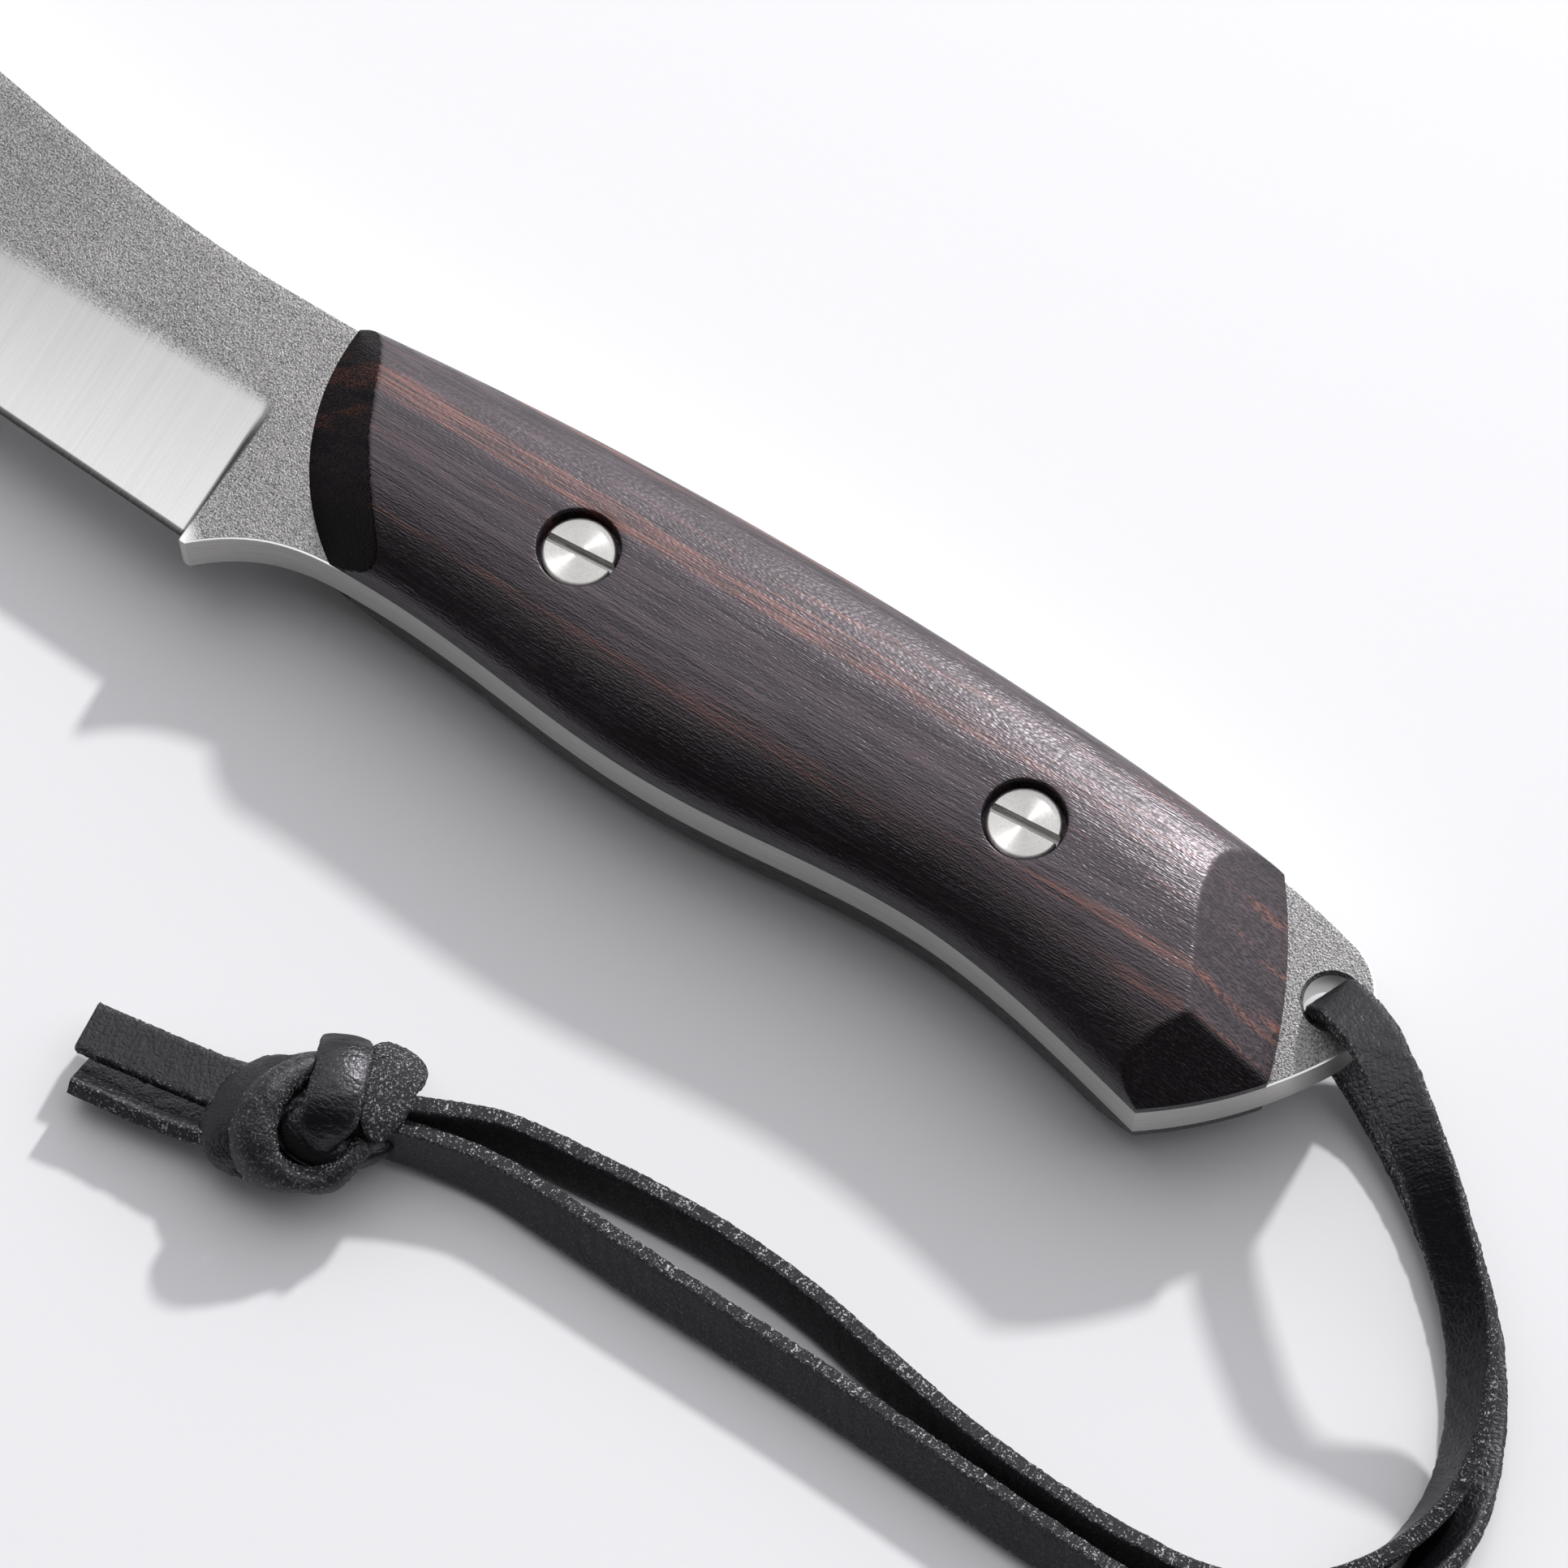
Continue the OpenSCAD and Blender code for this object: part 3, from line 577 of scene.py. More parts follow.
def makeScale(name, side, power):
    # crown and underside with their walls, then rings, counterbore and barrel hole at each bolt;
    # faces that lie wholly on the front facet get the second material, whose colour is darkened as painted shade
    plan = scalePlan()
    z = scaleHeight(*xy(plan), power)
    z[0] = 0
    base = hs.plateMiddle + side * hs.plateHalf
    holes = boltBlocks(plan[:, 0, 0], sg.holeHalf, sg.holeRows[0], plan.shape[1] - sg.holeRows[1])
    parts = []

    def up(line, height):
        return lift(line, base + side * height)

    def add(points, **way):
        parts.append(woodPart(points, power, **way))

    add(up(plan, z), skip=holes)
    add(up(plan, 0), skip=holes)
    for line in (np.s_[-1], np.s_[:, 0], np.s_[:, -1]):
        add(np.stack([up(plan[line], z[line]), up(plan[line], 0)]))
    turn = np.linspace(0, np.pi / 2, sg.rimSteps)[:, None, None]
    bore, rim, seat = ss.counterbore, ss.rimRound, ss.seat
    for bolt, block in zip(hs.bolts, holes):
        loop = blockLoop(plan, *block)
        rings = ringsAround(loop, bolt, bore + rim, *sg.boltRings)
        mouth, wall, barrel = (circleAt(loop, bolt, r) for r in (bore + rim, bore, hs.barrelHole))
        mouthZ = scaleHeight(*xy(mouth), power)
        rounded = up(mouth + (wall - mouth) * np.sin(turn), mouthZ - rim * (1 - np.cos(turn[..., 0])))
        add(up(rings, scaleHeight(*xy(rings), power)), wrap=True)
        down = [*rounded, up(wall, mouthZ - ss.rimDeep), up(wall, seat), up(barrel, seat), up(barrel, 0)]
        add(np.stack(down), wrap=True)
        add(up(ringsAround(loop, bolt, hs.barrelHole, sg.underRings), 0), wrap=True)
    piece = meshFrom(name, parts, sharpAngle=40)
    mesh = piece.data
    facet = readAll(mesh.attributes["endGrain"].data, "value", np.float32)
    corners = readAll(mesh.loops, "vertex_index", np.int32)
    starts = readAll(mesh.polygons, "loop_start", np.int32)
    onFacet = np.minimum.reduceat(facet[corners], starts) > 0.5
    mesh.polygons.foreach_set("material_index", onFacet.astype(np.int32))
    return piece


upperScale = makeScale("upperScale", 1, ss.upperPower)
lowerScale = makeScale("lowerScale", -1, ss.lowerPower)
print("scales:", len(upperScale.data.polygons), "faces each")


# slotted bolts: turned heads with a driver slot, a screw shank above and a barrel below

boltShape = {
    "headRadius": 4.0, "headThick": 2.0, "headChamfer": 0.28, "chamferSwell": 0.06,
    "slotHalf": 0.45, "slotDepth": 1.0, "slotTurn": 4.0, "slotEdge": 0.06, "overlap": 0.05,
    "upperSeat": 16.4, "lowerSeat": 3.2, "root": 0.3, "screwRadius": 2.0, "screwLength": 5.6, "screwTip": (0.35, 0.4),
    "barrelRadius": 2.7, "barrelTop": 15.6, "barrelTip": 0.25, "boreRadius": 2.05, "boreFloor": 9.8, "boreLead": 0.2,
    "threadPitch": 0.7, "threadDepth": 0.2, "boreThread": 0.02,
}


def lathe(profile, count=72):
    # a profile of radius and height turned about the upright axis
    turn = np.linspace(0, 2 * np.pi, count, endpoint=False)
    radius, height = np.asarray(profile, float).T[..., None]
    return lift(radius[..., None] * around(turn), height)


def headParts(b):
    # two D-shaped blocks beside the slot on a full disc; the seat is at height 0 and the slot runs along X
    r, half, top, floor = b.headRadius, b.slotHalf, b.headThick, b.headThick - b.slotDepth
    flatRadius, below = r - b.headChamfer, floor - b.overlap
    turn0 = math.asin(half / r)
    turn = np.linspace(turn0, np.pi - turn0, 65)

    def arc(radius, height):
        start = math.asin(half / radius)
        return lift(radius * around(start + (turn - turn0) / (np.pi - 2 * turn0) * (np.pi - 2 * start)), height)

    def chord(radius, y, height):
        x = np.cos(turn) / math.cos(turn0) * math.sqrt(radius ** 2 - half ** 2)
        return lift(np.stack([x, np.full_like(x, y)], -1), height)

    inner, outer = arc(flatRadius, top), arc(r, top - b.headChamfer)
    lineTop = chord(flatRadius, half + b.slotEdge, top)
    face = lineTop + np.linspace(0, 1, 14)[:, None, None] * (inner - lineTop)
    block = np.stack([
        *face, 0.5 * (inner + outer) + np.array([0, 0, b.chamferSwell]), outer, arc(r, below),
        chord(r, half, below), chord(flatRadius, half, top - b.slotEdge), lineTop,
    ])
    return block, block * [-1, -1, 1], lathe([(0, 0), (r, 0), (r, floor), (0, floor)])


def makeBolt(name, bolt, kind):
    # a head with a threaded shank, or upside down with a barrel and its bore; its UV map has the radius and the turn
    b = SimpleNamespace(**boltShape)
    if kind == "screw":
        start, flip, r, end = b.upperSeat, 1, b.screwRadius, -b.screwLength
        z = np.linspace(b.root, end + b.screwTip[1], 120)
        ridge = r - b.threadDepth * (0.5 - 0.5 * np.cos(2 * np.pi * z / b.threadPitch))
        profile = [(0, b.root), *zip(ridge, z), (r - b.screwTip[0], end), (0, end)]
    else:
        start, flip, r, bore = b.lowerSeat, -1, b.barrelRadius, b.boreRadius
        top, floor = b.barrelTop - start, b.boreFloor - start
        z = np.linspace(top - b.boreLead, floor + b.boreLead, 90)
        groove = bore - b.boreThread + b.boreThread * np.cos(2 * np.pi * z / b.threadPitch)
        profile = [
            (0, -b.root), (r, -b.root), (r, top - b.barrelTip), (r - b.barrelTip, top), (bore + b.boreLead, top),
            *zip(groove, z), (bore, floor), (0, floor),
        ]
    turn = math.radians(b.slotTurn)
    spin = np.array([[math.cos(turn), math.sin(turn), 0], [-math.sin(turn), math.cos(turn), 0], [0, 0, 1]])
    place = np.array([*bolt, start])
    one, two, disc = (x @ spin * [1, 1, flip] + place for x in headParts(b))
    shank = lathe(profile, 48) + place
    parts = [*(sheetPart(x, turned=1.0) for x in (one, two)), *(sheetPart(x, wrap=True) for x in (disc, shank))]
    piece = meshFrom(name, parts, sharpAngle=30, weld=0.002)
    mesh = piece.data
    layer = mesh.uv_layers.new(name="turnedFace")
    points = readAll(mesh.vertices, "co", np.float32, 3).reshape(-1, 3)
    x, y = xy(points[readAll(mesh.loops, "vertex_index", np.int32), :2] / mm - np.array(bolt))
    uv = np.stack([np.hypot(x, y) / 10, np.arctan2(y, x) / 7 + 0.5], -1)
    layer.data.foreach_set("uv", uv.astype(np.float32).reshape(-1))
    return piece


bolts = {}
for end, bolt in zip(("front", "rear"), hs.bolts):
    bolts[end + "_screw"] = makeBolt(end + "Screw", bolt, "screw")
    bolts[end + "_barrel_nut"] = makeBolt(end + "BarrelNut", bolt, "nut")
print("bolts:", len(bolts))


# leather lace: a flat rounded section carried along each route; stops are x, y, z and the lean from lying flat

laceShape = {
    "width": 5.6, "thick": 2.0, "round": 0.4, "step": 0.4, "floorGap": 0.03, "sharpAngle": 70, "weld": 0.001,
    "cutReach": 0.55, "cutFade": 0.5, "cutFuzz": 0.05, "cutWave": 0.07, "faceCrease": 0.05, "rawFuzz": 0.05,
    "waveScale": 1.1, "creaseScales": (1.6, 4.1), "fineCrease": 0.6, "cutLift": 0.3, "capShare": 0.6,
}
laceSeeds = {"upperStrand": 3, "lowerStrand": 8, "upperTail": 14, "lowerTail": 19}
laceRoutes = {
    "upperStrand": [
        (*hs.laceHole, 9.8, 0), (*hs.laceHole, 13.0, 0),
        (64.8, 2.2, 14.6, 0), (66.9, 1.2, 16.2, 0), (70.0, -0.4, 17.4, -4), (73.7, -3.0, 17.9, -8),
        (78.2, -6.6, 17.9, -13), (81.9, -9.5, 17.1, -18), (85.2, -12.2, 15.4, -23), (88.5, -14.8, 13.3, -28),
        (91.8, -17.6, 11.0, -34), (94.6, -20.8, 8.8, -40), (97.1, -24.9, 6.8, -46), (98.8, -29.3, 5.1, -54),
        (99.5, -33.9, 3.8, -64), (99.0, -38.8, 3.2, -75), (97.2, -43.8, 3.0, -85), (94.0, -48.6, 3.0, -95),
        (89.5, -52.6, 3.0, -104), (83.5, -55.0, 3.0, -110), (76.0, -56.0, 3.0, -114), (66.0, -56.0, 3.0, -114),
        (55.5, -55.2, 3.0, -114), (44.5, -53.4, 3.0, -114), (34.0, -51.6, 3.0, -114), (24.0, -50.9, 3.0, -114),
        (14.6, -51.2, 3.0, -114), (6.0, -52.0, 3.0, -114), (-2.5, -53.2, 3.4, -110), (-9.5, -56.2, 4.4, -104),
        (-14.5, -58.6, 5.0, -100),
    ],
    "lowerStrand": [
        (*hs.laceHole, 9.8, 0), (*hs.laceHole, 6.6, 0),
        (64.7, 2.2, 5.2, 0), (66.6, 1.7, 4.1, 0), (69.3, 0.9, 3.0, 0), (73.5, -1.1, 1.9, 0),
        (77.9, -3.7, 1.4, 0), (82.0, -6.5, 1.2, 0), (86.0, -9.6, 1.2, 0), (89.8, -13.0, 1.2, 0),
        (93.4, -16.8, 1.2, 0), (96.6, -21.2, 1.2, 0), (99.2, -26.0, 1.2, 0), (101.2, -31.2, 1.7, -10),
        (102.2, -36.4, 2.4, -30), (102.0, -41.6, 2.9, -52), (100.6, -46.8, 3.0, -76), (97.6, -51.8, 3.0, -98),
        (93.0, -55.8, 3.0, -112), (86.5, -58.6, 3.0, -120), (78.0, -60.0, 3.0, -124), (68.0, -59.9, 3.0, -126),
        (58.0, -59.4, 3.0, -126), (47.0, -58.8, 3.0, -126), (37.5, -58.4, 3.0, -126), (27.5, -58.2, 3.0, -126),
        (17.5, -58.0, 3.0, -126), (8.0, -57.6, 3.0, -124), (-1.0, -57.6, 3.0, -118), (-8.5, -59.0, 3.7, -110),
        (-14.5, -61.0, 4.4, -104),
    ],
    "upperTail": [
        (-24.0, -63.4, 5.6, 0), (-29.5, -64.8, 5.4, 0), (-35.0, -65.6, 4.8, 0), (-40.0, -66.2, 4.2, 0),
        (-45.0, -66.8, 3.8, 0),
    ],
    "lowerTail": [
        (-24.0, -66.6, 4.2, -30), (-29.0, -68.8, 3.4, -34), (-34.0, -69.9, 2.8, -36), (-38.5, -70.6, 2.6, -38),
        (-43.2, -71.3, 2.6, -40),
    ],
}
ls = SimpleNamespace(**laceShape)


def leanFrames(route):
    # which way the lace's width points at each stop: level across the course, then leant about the way
    stops = np.asarray(route, float)
    p, lean = stops[:, :3], np.radians(stops[:, 3:])
    i, last = np.arange(len(p)), len(p) - 1
    before = p[np.maximum(i - 1, 0)]
    way = unit(p[np.minimum(i + 1, last)] - before)
    course = unit((p[np.minimum(i + 2, last)] - before) * [1, 1, 0])
    level = np.stack([course[:, 1], -course[:, 0], 0 * course[:, 0]], -1)
    side = unit(level - (level * way).sum(-1, keepdims=True) * way)
    return p, np.cos(lean) * side + np.sin(lean) * np.cross(side, way)


def lengthAlong(points):
    # the way covered from the first point to each one
    return np.concatenate([[0], np.cumsum(np.linalg.norm(np.diff(points, axis=0), axis=1))])


def alongCurve(stops, values, step):
    # a smooth curve through the stops with even steps, and values carried along it in the same way (cubic pieces)
    s = lengthAlong(stops)
    both = np.concatenate([stops, values], 1)
    slope = np.gradient(both, s, axis=0)
    at = np.linspace(0, s[-1], int(s[-1] / step) + 1)
    i = np.clip(np.searchsorted(s, at, "right") - 1, 0, len(s) - 2)
    h = (s[i + 1] - s[i])[:, None]
    t = (at - s[i])[:, None] / h
    out = ((2 * t ** 3 - 3 * t ** 2 + 1) * both[i] + (t ** 3 - 2 * t ** 2 + t) * h * slope[i]
           + (3 * t ** 2 - 2 * t ** 3) * both[i + 1] + (t ** 3 - t ** 2) * h * slope[i + 1])
    return out[:, :3], out[:, 3:], at


def laceSection(width, thick, r):
    # round a rectangle with rounded corners: places across and through the lace, one half, then its mirror
    flat, bend = np.linspace(-1, 1, 11), np.linspace(0, np.pi / 2, 4)
    w, t = width / 2 - r, thick / 2 - r
    half = np.array([
        np.concatenate([flat * w, w + r * np.sin(bend[1:]), [width / 2] * 2, w + r * np.cos(bend)]),
        np.concatenate([0 * flat + t + r, t + r * np.cos(bend[1:]), [t / 3, -t / 3], -t - r * np.sin(bend)]),
    ])
    return np.concatenate([half, -half[:, 1:-1]], 1)


def wavy(s, v, seed, scale):
    # slow bumps: a sum of sines with unrelated lengths
    rng = np.random.default_rng(seed)
    total = 0
    for k in range(5):
        a, b, c = rng.uniform(0.5, 2.2), rng.uniform(-1.5, 1.5), rng.uniform(0, 6.28)
        total = total + np.sin((a * s + b * v) * scale + c) / 5
    return total


def lacePart(centre, across, seed, width=ls.width, crease=1.0, bulge=0.0, raw=0.0, thick=ls.thick):
    # carries the section along the line; cut edges get fibres and waves, the two faces get creases
    wide = np.broadcast_to(width, len(centre))[:, None]
    way = unit(np.gradient(centre, axis=0))
    across = unit(across - (across * way).sum(-1, keepdims=True) * way)
    through = np.cross(across, way)
    p, q = laceSection(ls.width, thick, ls.round)
    share = np.abs(p) / ls.width * 2
    cut = smooth((np.abs(p) - ls.width / 2 + ls.cutReach) / ls.cutFade)
    s = lengthAlong(centre)[:, None]
    fibre = np.random.default_rng(seed).normal(0, 1, (len(s), len(p)))
    side = np.sign(p)
    pushP = cut * side * (ls.cutFuzz * fibre + ls.cutWave * wavy(s, 3 * side, seed, ls.waveScale))
    broad, fine = (wavy(s, p, seed + k, scale) for k, scale in enumerate(ls.creaseScales, 1))
    creases = ls.faceCrease * crease * (broad + ls.fineCrease * fine)
    pushQ = (1 - cut) * np.sign(q) * creases + ls.cutLift * ls.cutFuzz * cut * fibre + bulge * (1 - share ** 2)
    pushQ = pushQ + raw * ls.rawFuzz * fibre * (1 - cut)
    sideways = (p * wide / ls.width + pushP)[..., None] * across[:, None]
    ring = centre[:, None] + sideways + (q + pushQ)[..., None] * through[:, None]
    caps = [centre[i] + k * (ring[i] - centre[i]) for i, k in ((0, 0), (0, ls.capShare), (-1, ls.capShare), (-1, 0))]
    ring = np.concatenate([caps[:2], ring, caps[2:]])
    ring[..., 2] = np.maximum(ring[..., 2], ls.floorGap)
    ends = np.zeros((len(ring), 1))
    ends[:2] = ends[-2:] = 1
    layers = {
        "cutEdge": np.maximum(np.maximum(cut, raw), ends), "flesh": (q < 0) * (1 - cut),
        "alongLace": np.concatenate([s[:1], s[:1], s, s[-1:], s[-1:]]), "acrossLace": p,
    }
    return sheetPart(ring, wrap=True, **{k: np.broadcast_to(v, ring.shape[:2]) for k, v in layers.items()})


laces, laceLines = {}, {}
for name, route in laceRoutes.items():
    centre, across, s = alongCurve(*leanFrames(route), ls.step)
    laces[name] = meshFrom(name, [lacePart(centre, across, laceSeeds[name])], ls.sharpAngle, ls.weld)
    laceLines[name] = (centre * mm, s[-1] * mm)
    print("lace", name, round(s[-1], 1), "mm")


# overhand knot: bands of the lace over a core of folds; a band runs between two rails, six numbers a stop

knotShape = {
    "core": (-19.5, -62.4, 5.0), "coreHalf": (10.0, 6.9, 4.4), "turn": 32.6,
    "folds": 5, "foldSlant": 2.4, "foldStart": 0.6, "foldDepth": 0.3, "foldEdge": 0.4,
    "bandStep": 0.25, "bandLeast": 1.2, "bandThick": 1.6,
}
knotRails = {
    "leftWrap": [
        (-22.9, -57.7, 6.7, -20.7, -60.2, 8.5), (-24.2, -59.0, 7.2, -21.9, -61.3, 8.7),
        (-27.3, -61.2, 6.1, -23.4, -63.3, 8.7), (-28.6, -63.5, 5.8, -23.9, -65.2, 8.6),
        (-29.1, -66.6, 5.3, -23.9, -67.3, 8.0), (-28.5, -69.4, 5.0, -23.3, -68.9, 7.2),
        (-26.7, -71.1, 4.8, -22.4, -69.7, 5.9), (-23.7, -71.3, 4.5, -21.3, -69.7, 4.4),
        (-20.5, -70.9, 4.3, -19.5, -69.6, 4.3),
    ],
    "ring": [
        (-22.0, -57.5, 7.8, -20.4, -59.7, 8.9), (-23.1, -59.0, 8.8, -20.9, -61.0, 9.6),
        (-24.4, -61.2, 9.4, -21.3, -62.4, 10.0), (-25.3, -64.1, 9.7, -21.4, -64.1, 10.2),
        (-25.4, -67.4, 9.2, -21.1, -65.9, 9.9), (-24.4, -70.0, 8.3, -20.3, -67.5, 9.5),
        (-22.3, -71.6, 6.6, -19.1, -68.6, 8.7), (-19.3, -71.1, 5.6, -17.5, -68.8, 7.8),
        (-16.5, -69.6, 5.2, -16.0, -68.2, 7.2), (-14.3, -67.9, 4.1, -14.7, -67.0, 7.2),
        (-12.6, -65.5, 5.9, -14.0, -65.2, 7.6), (-12.0, -62.2, 7.0, -13.6, -62.9, 7.9),
    ],
    "rightWrap": [
        (-22.8, -55.7, 7.8, -17.7, -54.1, 7.9), (-21.9, -57.5, 9.7, -16.5, -55.4, 9.4),
        (-21.0, -59.3, 10.6, -15.6, -57.3, 10.2), (-20.1, -61.8, 10.9, -14.7, -59.5, 10.4),
        (-19.7, -63.9, 10.4, -14.3, -61.2, 9.9), (-19.2, -65.2, 9.4, -14.4, -62.6, 9.0),
        (-17.8, -65.8, 7.7, -15.0, -64.3, 7.3),
    ],
    "flap": [
        (-18.1, -54.2, 7.7, -16.7, -52.4, 5.7), (-16.9, -55.6, 9.1, -12.6, -52.2, 5.4),
        (-15.9, -57.3, 9.8, -11.6, -54.4, 7.7), (-15.0, -59.4, 10.0, -11.1, -56.3, 8.4),
        (-14.3, -61.2, 9.6, -10.8, -59.2, 8.4), (-12.9, -62.2, 8.5, -11.3, -61.4, 7.7),
    ],
}
knotFinish = {  # seed, creases, rounding of the band and how much of it is raw
    "leftWrap": (31, 0.9, 0.25, 0.05), "ring": (37, 1.6, 0.9, 0.35),
    "rightWrap": (43, 1.3, 0.5, 0.0), "flap": (47, 1.0, 0.3, 1.0),
}
ks = SimpleNamespace(**knotShape)


def knotBand(rails, seed, crease, bulge, raw):
    # a band whose two edges follow the rails; its face looks away from the core
    a, b = np.split(np.asarray(rails, float), 2, axis=1)
    values = np.concatenate([b - a, np.linalg.norm(b - a, axis=1, keepdims=True)], 1)
    centre, values = alongCurve((a + b) / 2, values, ks.bandStep)[:2]
    across, width = unit(values[:, :3]), np.clip(values[:, 3], ks.bandLeast, None)
    way = unit(np.gradient(centre, axis=0))
    out = (np.cross(across, way) * (centre - ks.core)).sum(-1).mean()
    return lacePart(centre, across * np.sign(out), seed, width, crease, bulge, raw, ks.bandThick)


def knotCore():
    # an egg of slanting folds, the strands inside the knot, so that no light passes between the bands
    up, turn = np.linspace(-np.pi / 2, np.pi / 2, 49)[:, None], np.linspace(0, 2 * np.pi, 120, endpoint=False)
    fold = np.abs(np.sin(ks.folds / 2 * turn + ks.foldSlant * up + ks.foldStart))
    swell = 1 - ks.foldDepth * np.cos(up) * (1 - np.sqrt(fold))
    ball = lift(np.cos(up)[..., None] * around(turn), np.sin(up))
    x, y, z = np.moveaxis(ball * swell[..., None] * ks.coreHalf, -1, 0)
    c, s = math.cos(math.radians(ks.turn)), math.sin(math.radians(ks.turn))
    places = np.stack([x * c - y * s, x * s + y * c, z], -1) + ks.core
    return sheetPart(places, wrap=True, cutEdge=1 - smooth(fold / ks.foldEdge))


knotParts = [knotBand(rails, *knotFinish[name]) for name, rails in knotRails.items()]
knot = meshFrom("laceKnot", [knotCore(), *knotParts], ls.sharpAngle, ls.weld)
print("knot:", len(knot.data.polygons), "faces")


# node tools: nodes go into the tree that is being built, and values are numbers, colours or other nodes' sockets

build = SimpleNamespace(tree=None)


def feed(socket, value):
    # links another node's socket or sets a fixed value; a colour gets its alpha here
    if isinstance(value, bpy.types.NodeSocket):
        build.tree.links.new(value, socket)
    else:
        socket.default_value = (*value, 1) if socket.type == "RGBA" else value


def addNode(kind, inputs=None, **settings):
    # a node with its settings, then its inputs
    node = build.tree.nodes.new(kind)
    for key, value in settings.items():
        setattr(node, key, value)
    for key, value in (inputs or {}).items():
        feed(node.inputs[key], value)
    return node


def math2(operation, a, b=0.0, clamp=False):
    return addNode("ShaderNodeMath", {0: a, 1: b}, operation=operation, use_clamp=clamp).outputs[0]


def times(a, b):
    return math2("MULTIPLY", a, b)


def plus(a, b):
    return math2("ADD", a, b)


def minus(a, b):
    return math2("SUBTRACT", a, b)


def larger(a, b):
    return math2("MAXIMUM", a, b)


def swing(value, size):
    # noise about 0 instead of about a half, times a size
    return times(minus(value, 0.5), size)


def vectorMath(operation, a, b=(0, 0, 0), out=0):
    return addNode("ShaderNodeVectorMath", {0: a, 1: b}, operation=operation).outputs[out]


def mixColour(share, a, b, blend="MIX"):
    return addNode("ShaderNodeMix", {0: share, 6: a, 7: b}, data_type="RGBA", blend_type=blend).outputs[2]


def mixValue(share, a, b):
    return addNode("ShaderNodeMix", {0: share, 2: a, 3: b}, data_type="FLOAT").outputs[0]


def ranged(value, low, high, toLow=0.0, toHigh=1.0, kind="SMOOTHSTEP"):
    # low to high becomes toLow to toHigh, with level ends
    inputs = {"Value": value, 1: low, 2: high, 3: toLow, 4: toHigh}
    return addNode("ShaderNodeMapRange", inputs, interpolation_type=kind).outputs[0]


def rampOf(value, *stops):
    # stops are (place, colour or grey)
    node = addNode("ShaderNodeValToRGB", {0: value})
    elements = node.color_ramp.elements
    while len(elements) < len(stops):
        elements.new(0.5)
    for element, (place, colour) in zip(elements, stops):
        element.position = place
        element.color = (*colour, 1) if isinstance(colour, tuple) else (colour, colour, colour, 1)
    return node.outputs[0]


def tinted(colour, value, *stops):
    # a colour times a ramp
    return mixColour(1.0, colour, rampOf(value, *stops), "MULTIPLY")


def stretched(coords, scale, turn=(0, 0, 0), shift=(0, 0, 0)):
    # scaled, turned and moved coordinates; a small scale along an axis draws noise out along it
    inputs = {"Vector": coords, "Scale": scale, "Rotation": turn, "Location": shift}
    return addNode("ShaderNodeMapping", inputs).outputs[0]


def noise(coords, scale=1.0, detail=3.0, rough=0.55):
    inputs = {"Vector": coords, "Scale": scale, "Detail": detail, "Roughness": rough}
    return addNode("ShaderNodeTexNoise", inputs).outputs[0]


def layerValue(name):
    # a number layer of the mesh
    return addNode("ShaderNodeAttribute", attribute_name=name).outputs["Fac"]


def newGroup(name, output, **numbers):
    # a shader node group with a vector and some numbers going in and one number coming out
    group = build.tree = bpy.data.node_groups.new(name, "ShaderNodeTree")
    group.interface.new_socket("Vector", in_out="INPUT", socket_type="NodeSocketVector")
    for title, start in numbers.items():
        group.interface.new_socket(title, in_out="INPUT", socket_type="NodeSocketFloat").default_value = start
    group.interface.new_socket(output, in_out="OUTPUT", socket_type="NodeSocketFloat")
    return group, addNode("NodeGroupInput").outputs, addNode("NodeGroupOutput").inputs[output]


def useGroup(group, **inputs):
    return addNode("ShaderNodeGroup", inputs, node_tree=group).outputs[0]


def newMaterial(name, settings):
    # an empty material with its shader and output; settings are fixed values on the shader
    material = bpy.data.materials.new(name)
    material.use_nodes = True
    build.tree = material.node_tree
    build.tree.nodes.clear()
    shader = addNode("ShaderNodeBsdfPrincipled", settings)
    addNode("ShaderNodeOutputMaterial", {"Surface": shader.outputs[0]})
    return material, shader, addNode("ShaderNodeTexCoord").outputs["Object"]


def dress(shader, colour, rough, height, distance):
    # colour, roughness and bump into the shader
    bump = addNode("ShaderNodeBump", {"Height": height, "Distance": distance, "Strength": 1.0}).outputs[0]
    for key, value in (("Base Color", colour), ("Roughness", rough), ("Normal", bump)):
        feed(shader.inputs[key], value)


# shared effects

def makeBrushLines():
    # fine lines: noise stretched along one axis, in two widths
    group, given, out = newGroup("brushLines", "Lines")
    fine, broad = noise(given["Vector"], 1.0, 2.0, 0.6), noise(given["Vector"], 0.31, 2.0, 0.5)
    feed(out, mixValue(0.45, fine, broad))
    return group


def makeHandledWear():
    # smudges: slow noise that lifts the roughness where a hand has been
    group, given, out = newGroup("handledWear", "Roughness", Low=0.3, High=0.4)
    slow = noise(given["Vector"], 60.0, 4.0, 0.6)
    feed(out, ranged(slow, 0.3, 0.7, given["Low"], given["High"], "LINEAR"))
    return group


brushLines = makeBrushLines()
handledWear = makeHandledWear()


# steel of the plate: blasted flats, brushed bevel, drawn edges

steelLook = {
    "flatDark": (0.113, 0.110, 0.110), "flatLight": (0.425, 0.415, 0.415), "grain": 4600.0, "patch": 60.0,
    "bevel": (0.735, 0.725, 0.72), "edgeWall": (0.80, 0.78, 0.755),
    # the first colour here is a painted shade for the keen edge and the plunge's step, the second a painted highlight
    # for the chamfers, the butt's rim and the flats round the heel
    "keen": (0.10, 0.10, 0.10), "rim": (0.82, 0.81, 0.80),
    "brush": (7000.0, 70.0, 70.0), "draw": (260.0, 260.0, 9000.0), "bump": 0.00009,
}


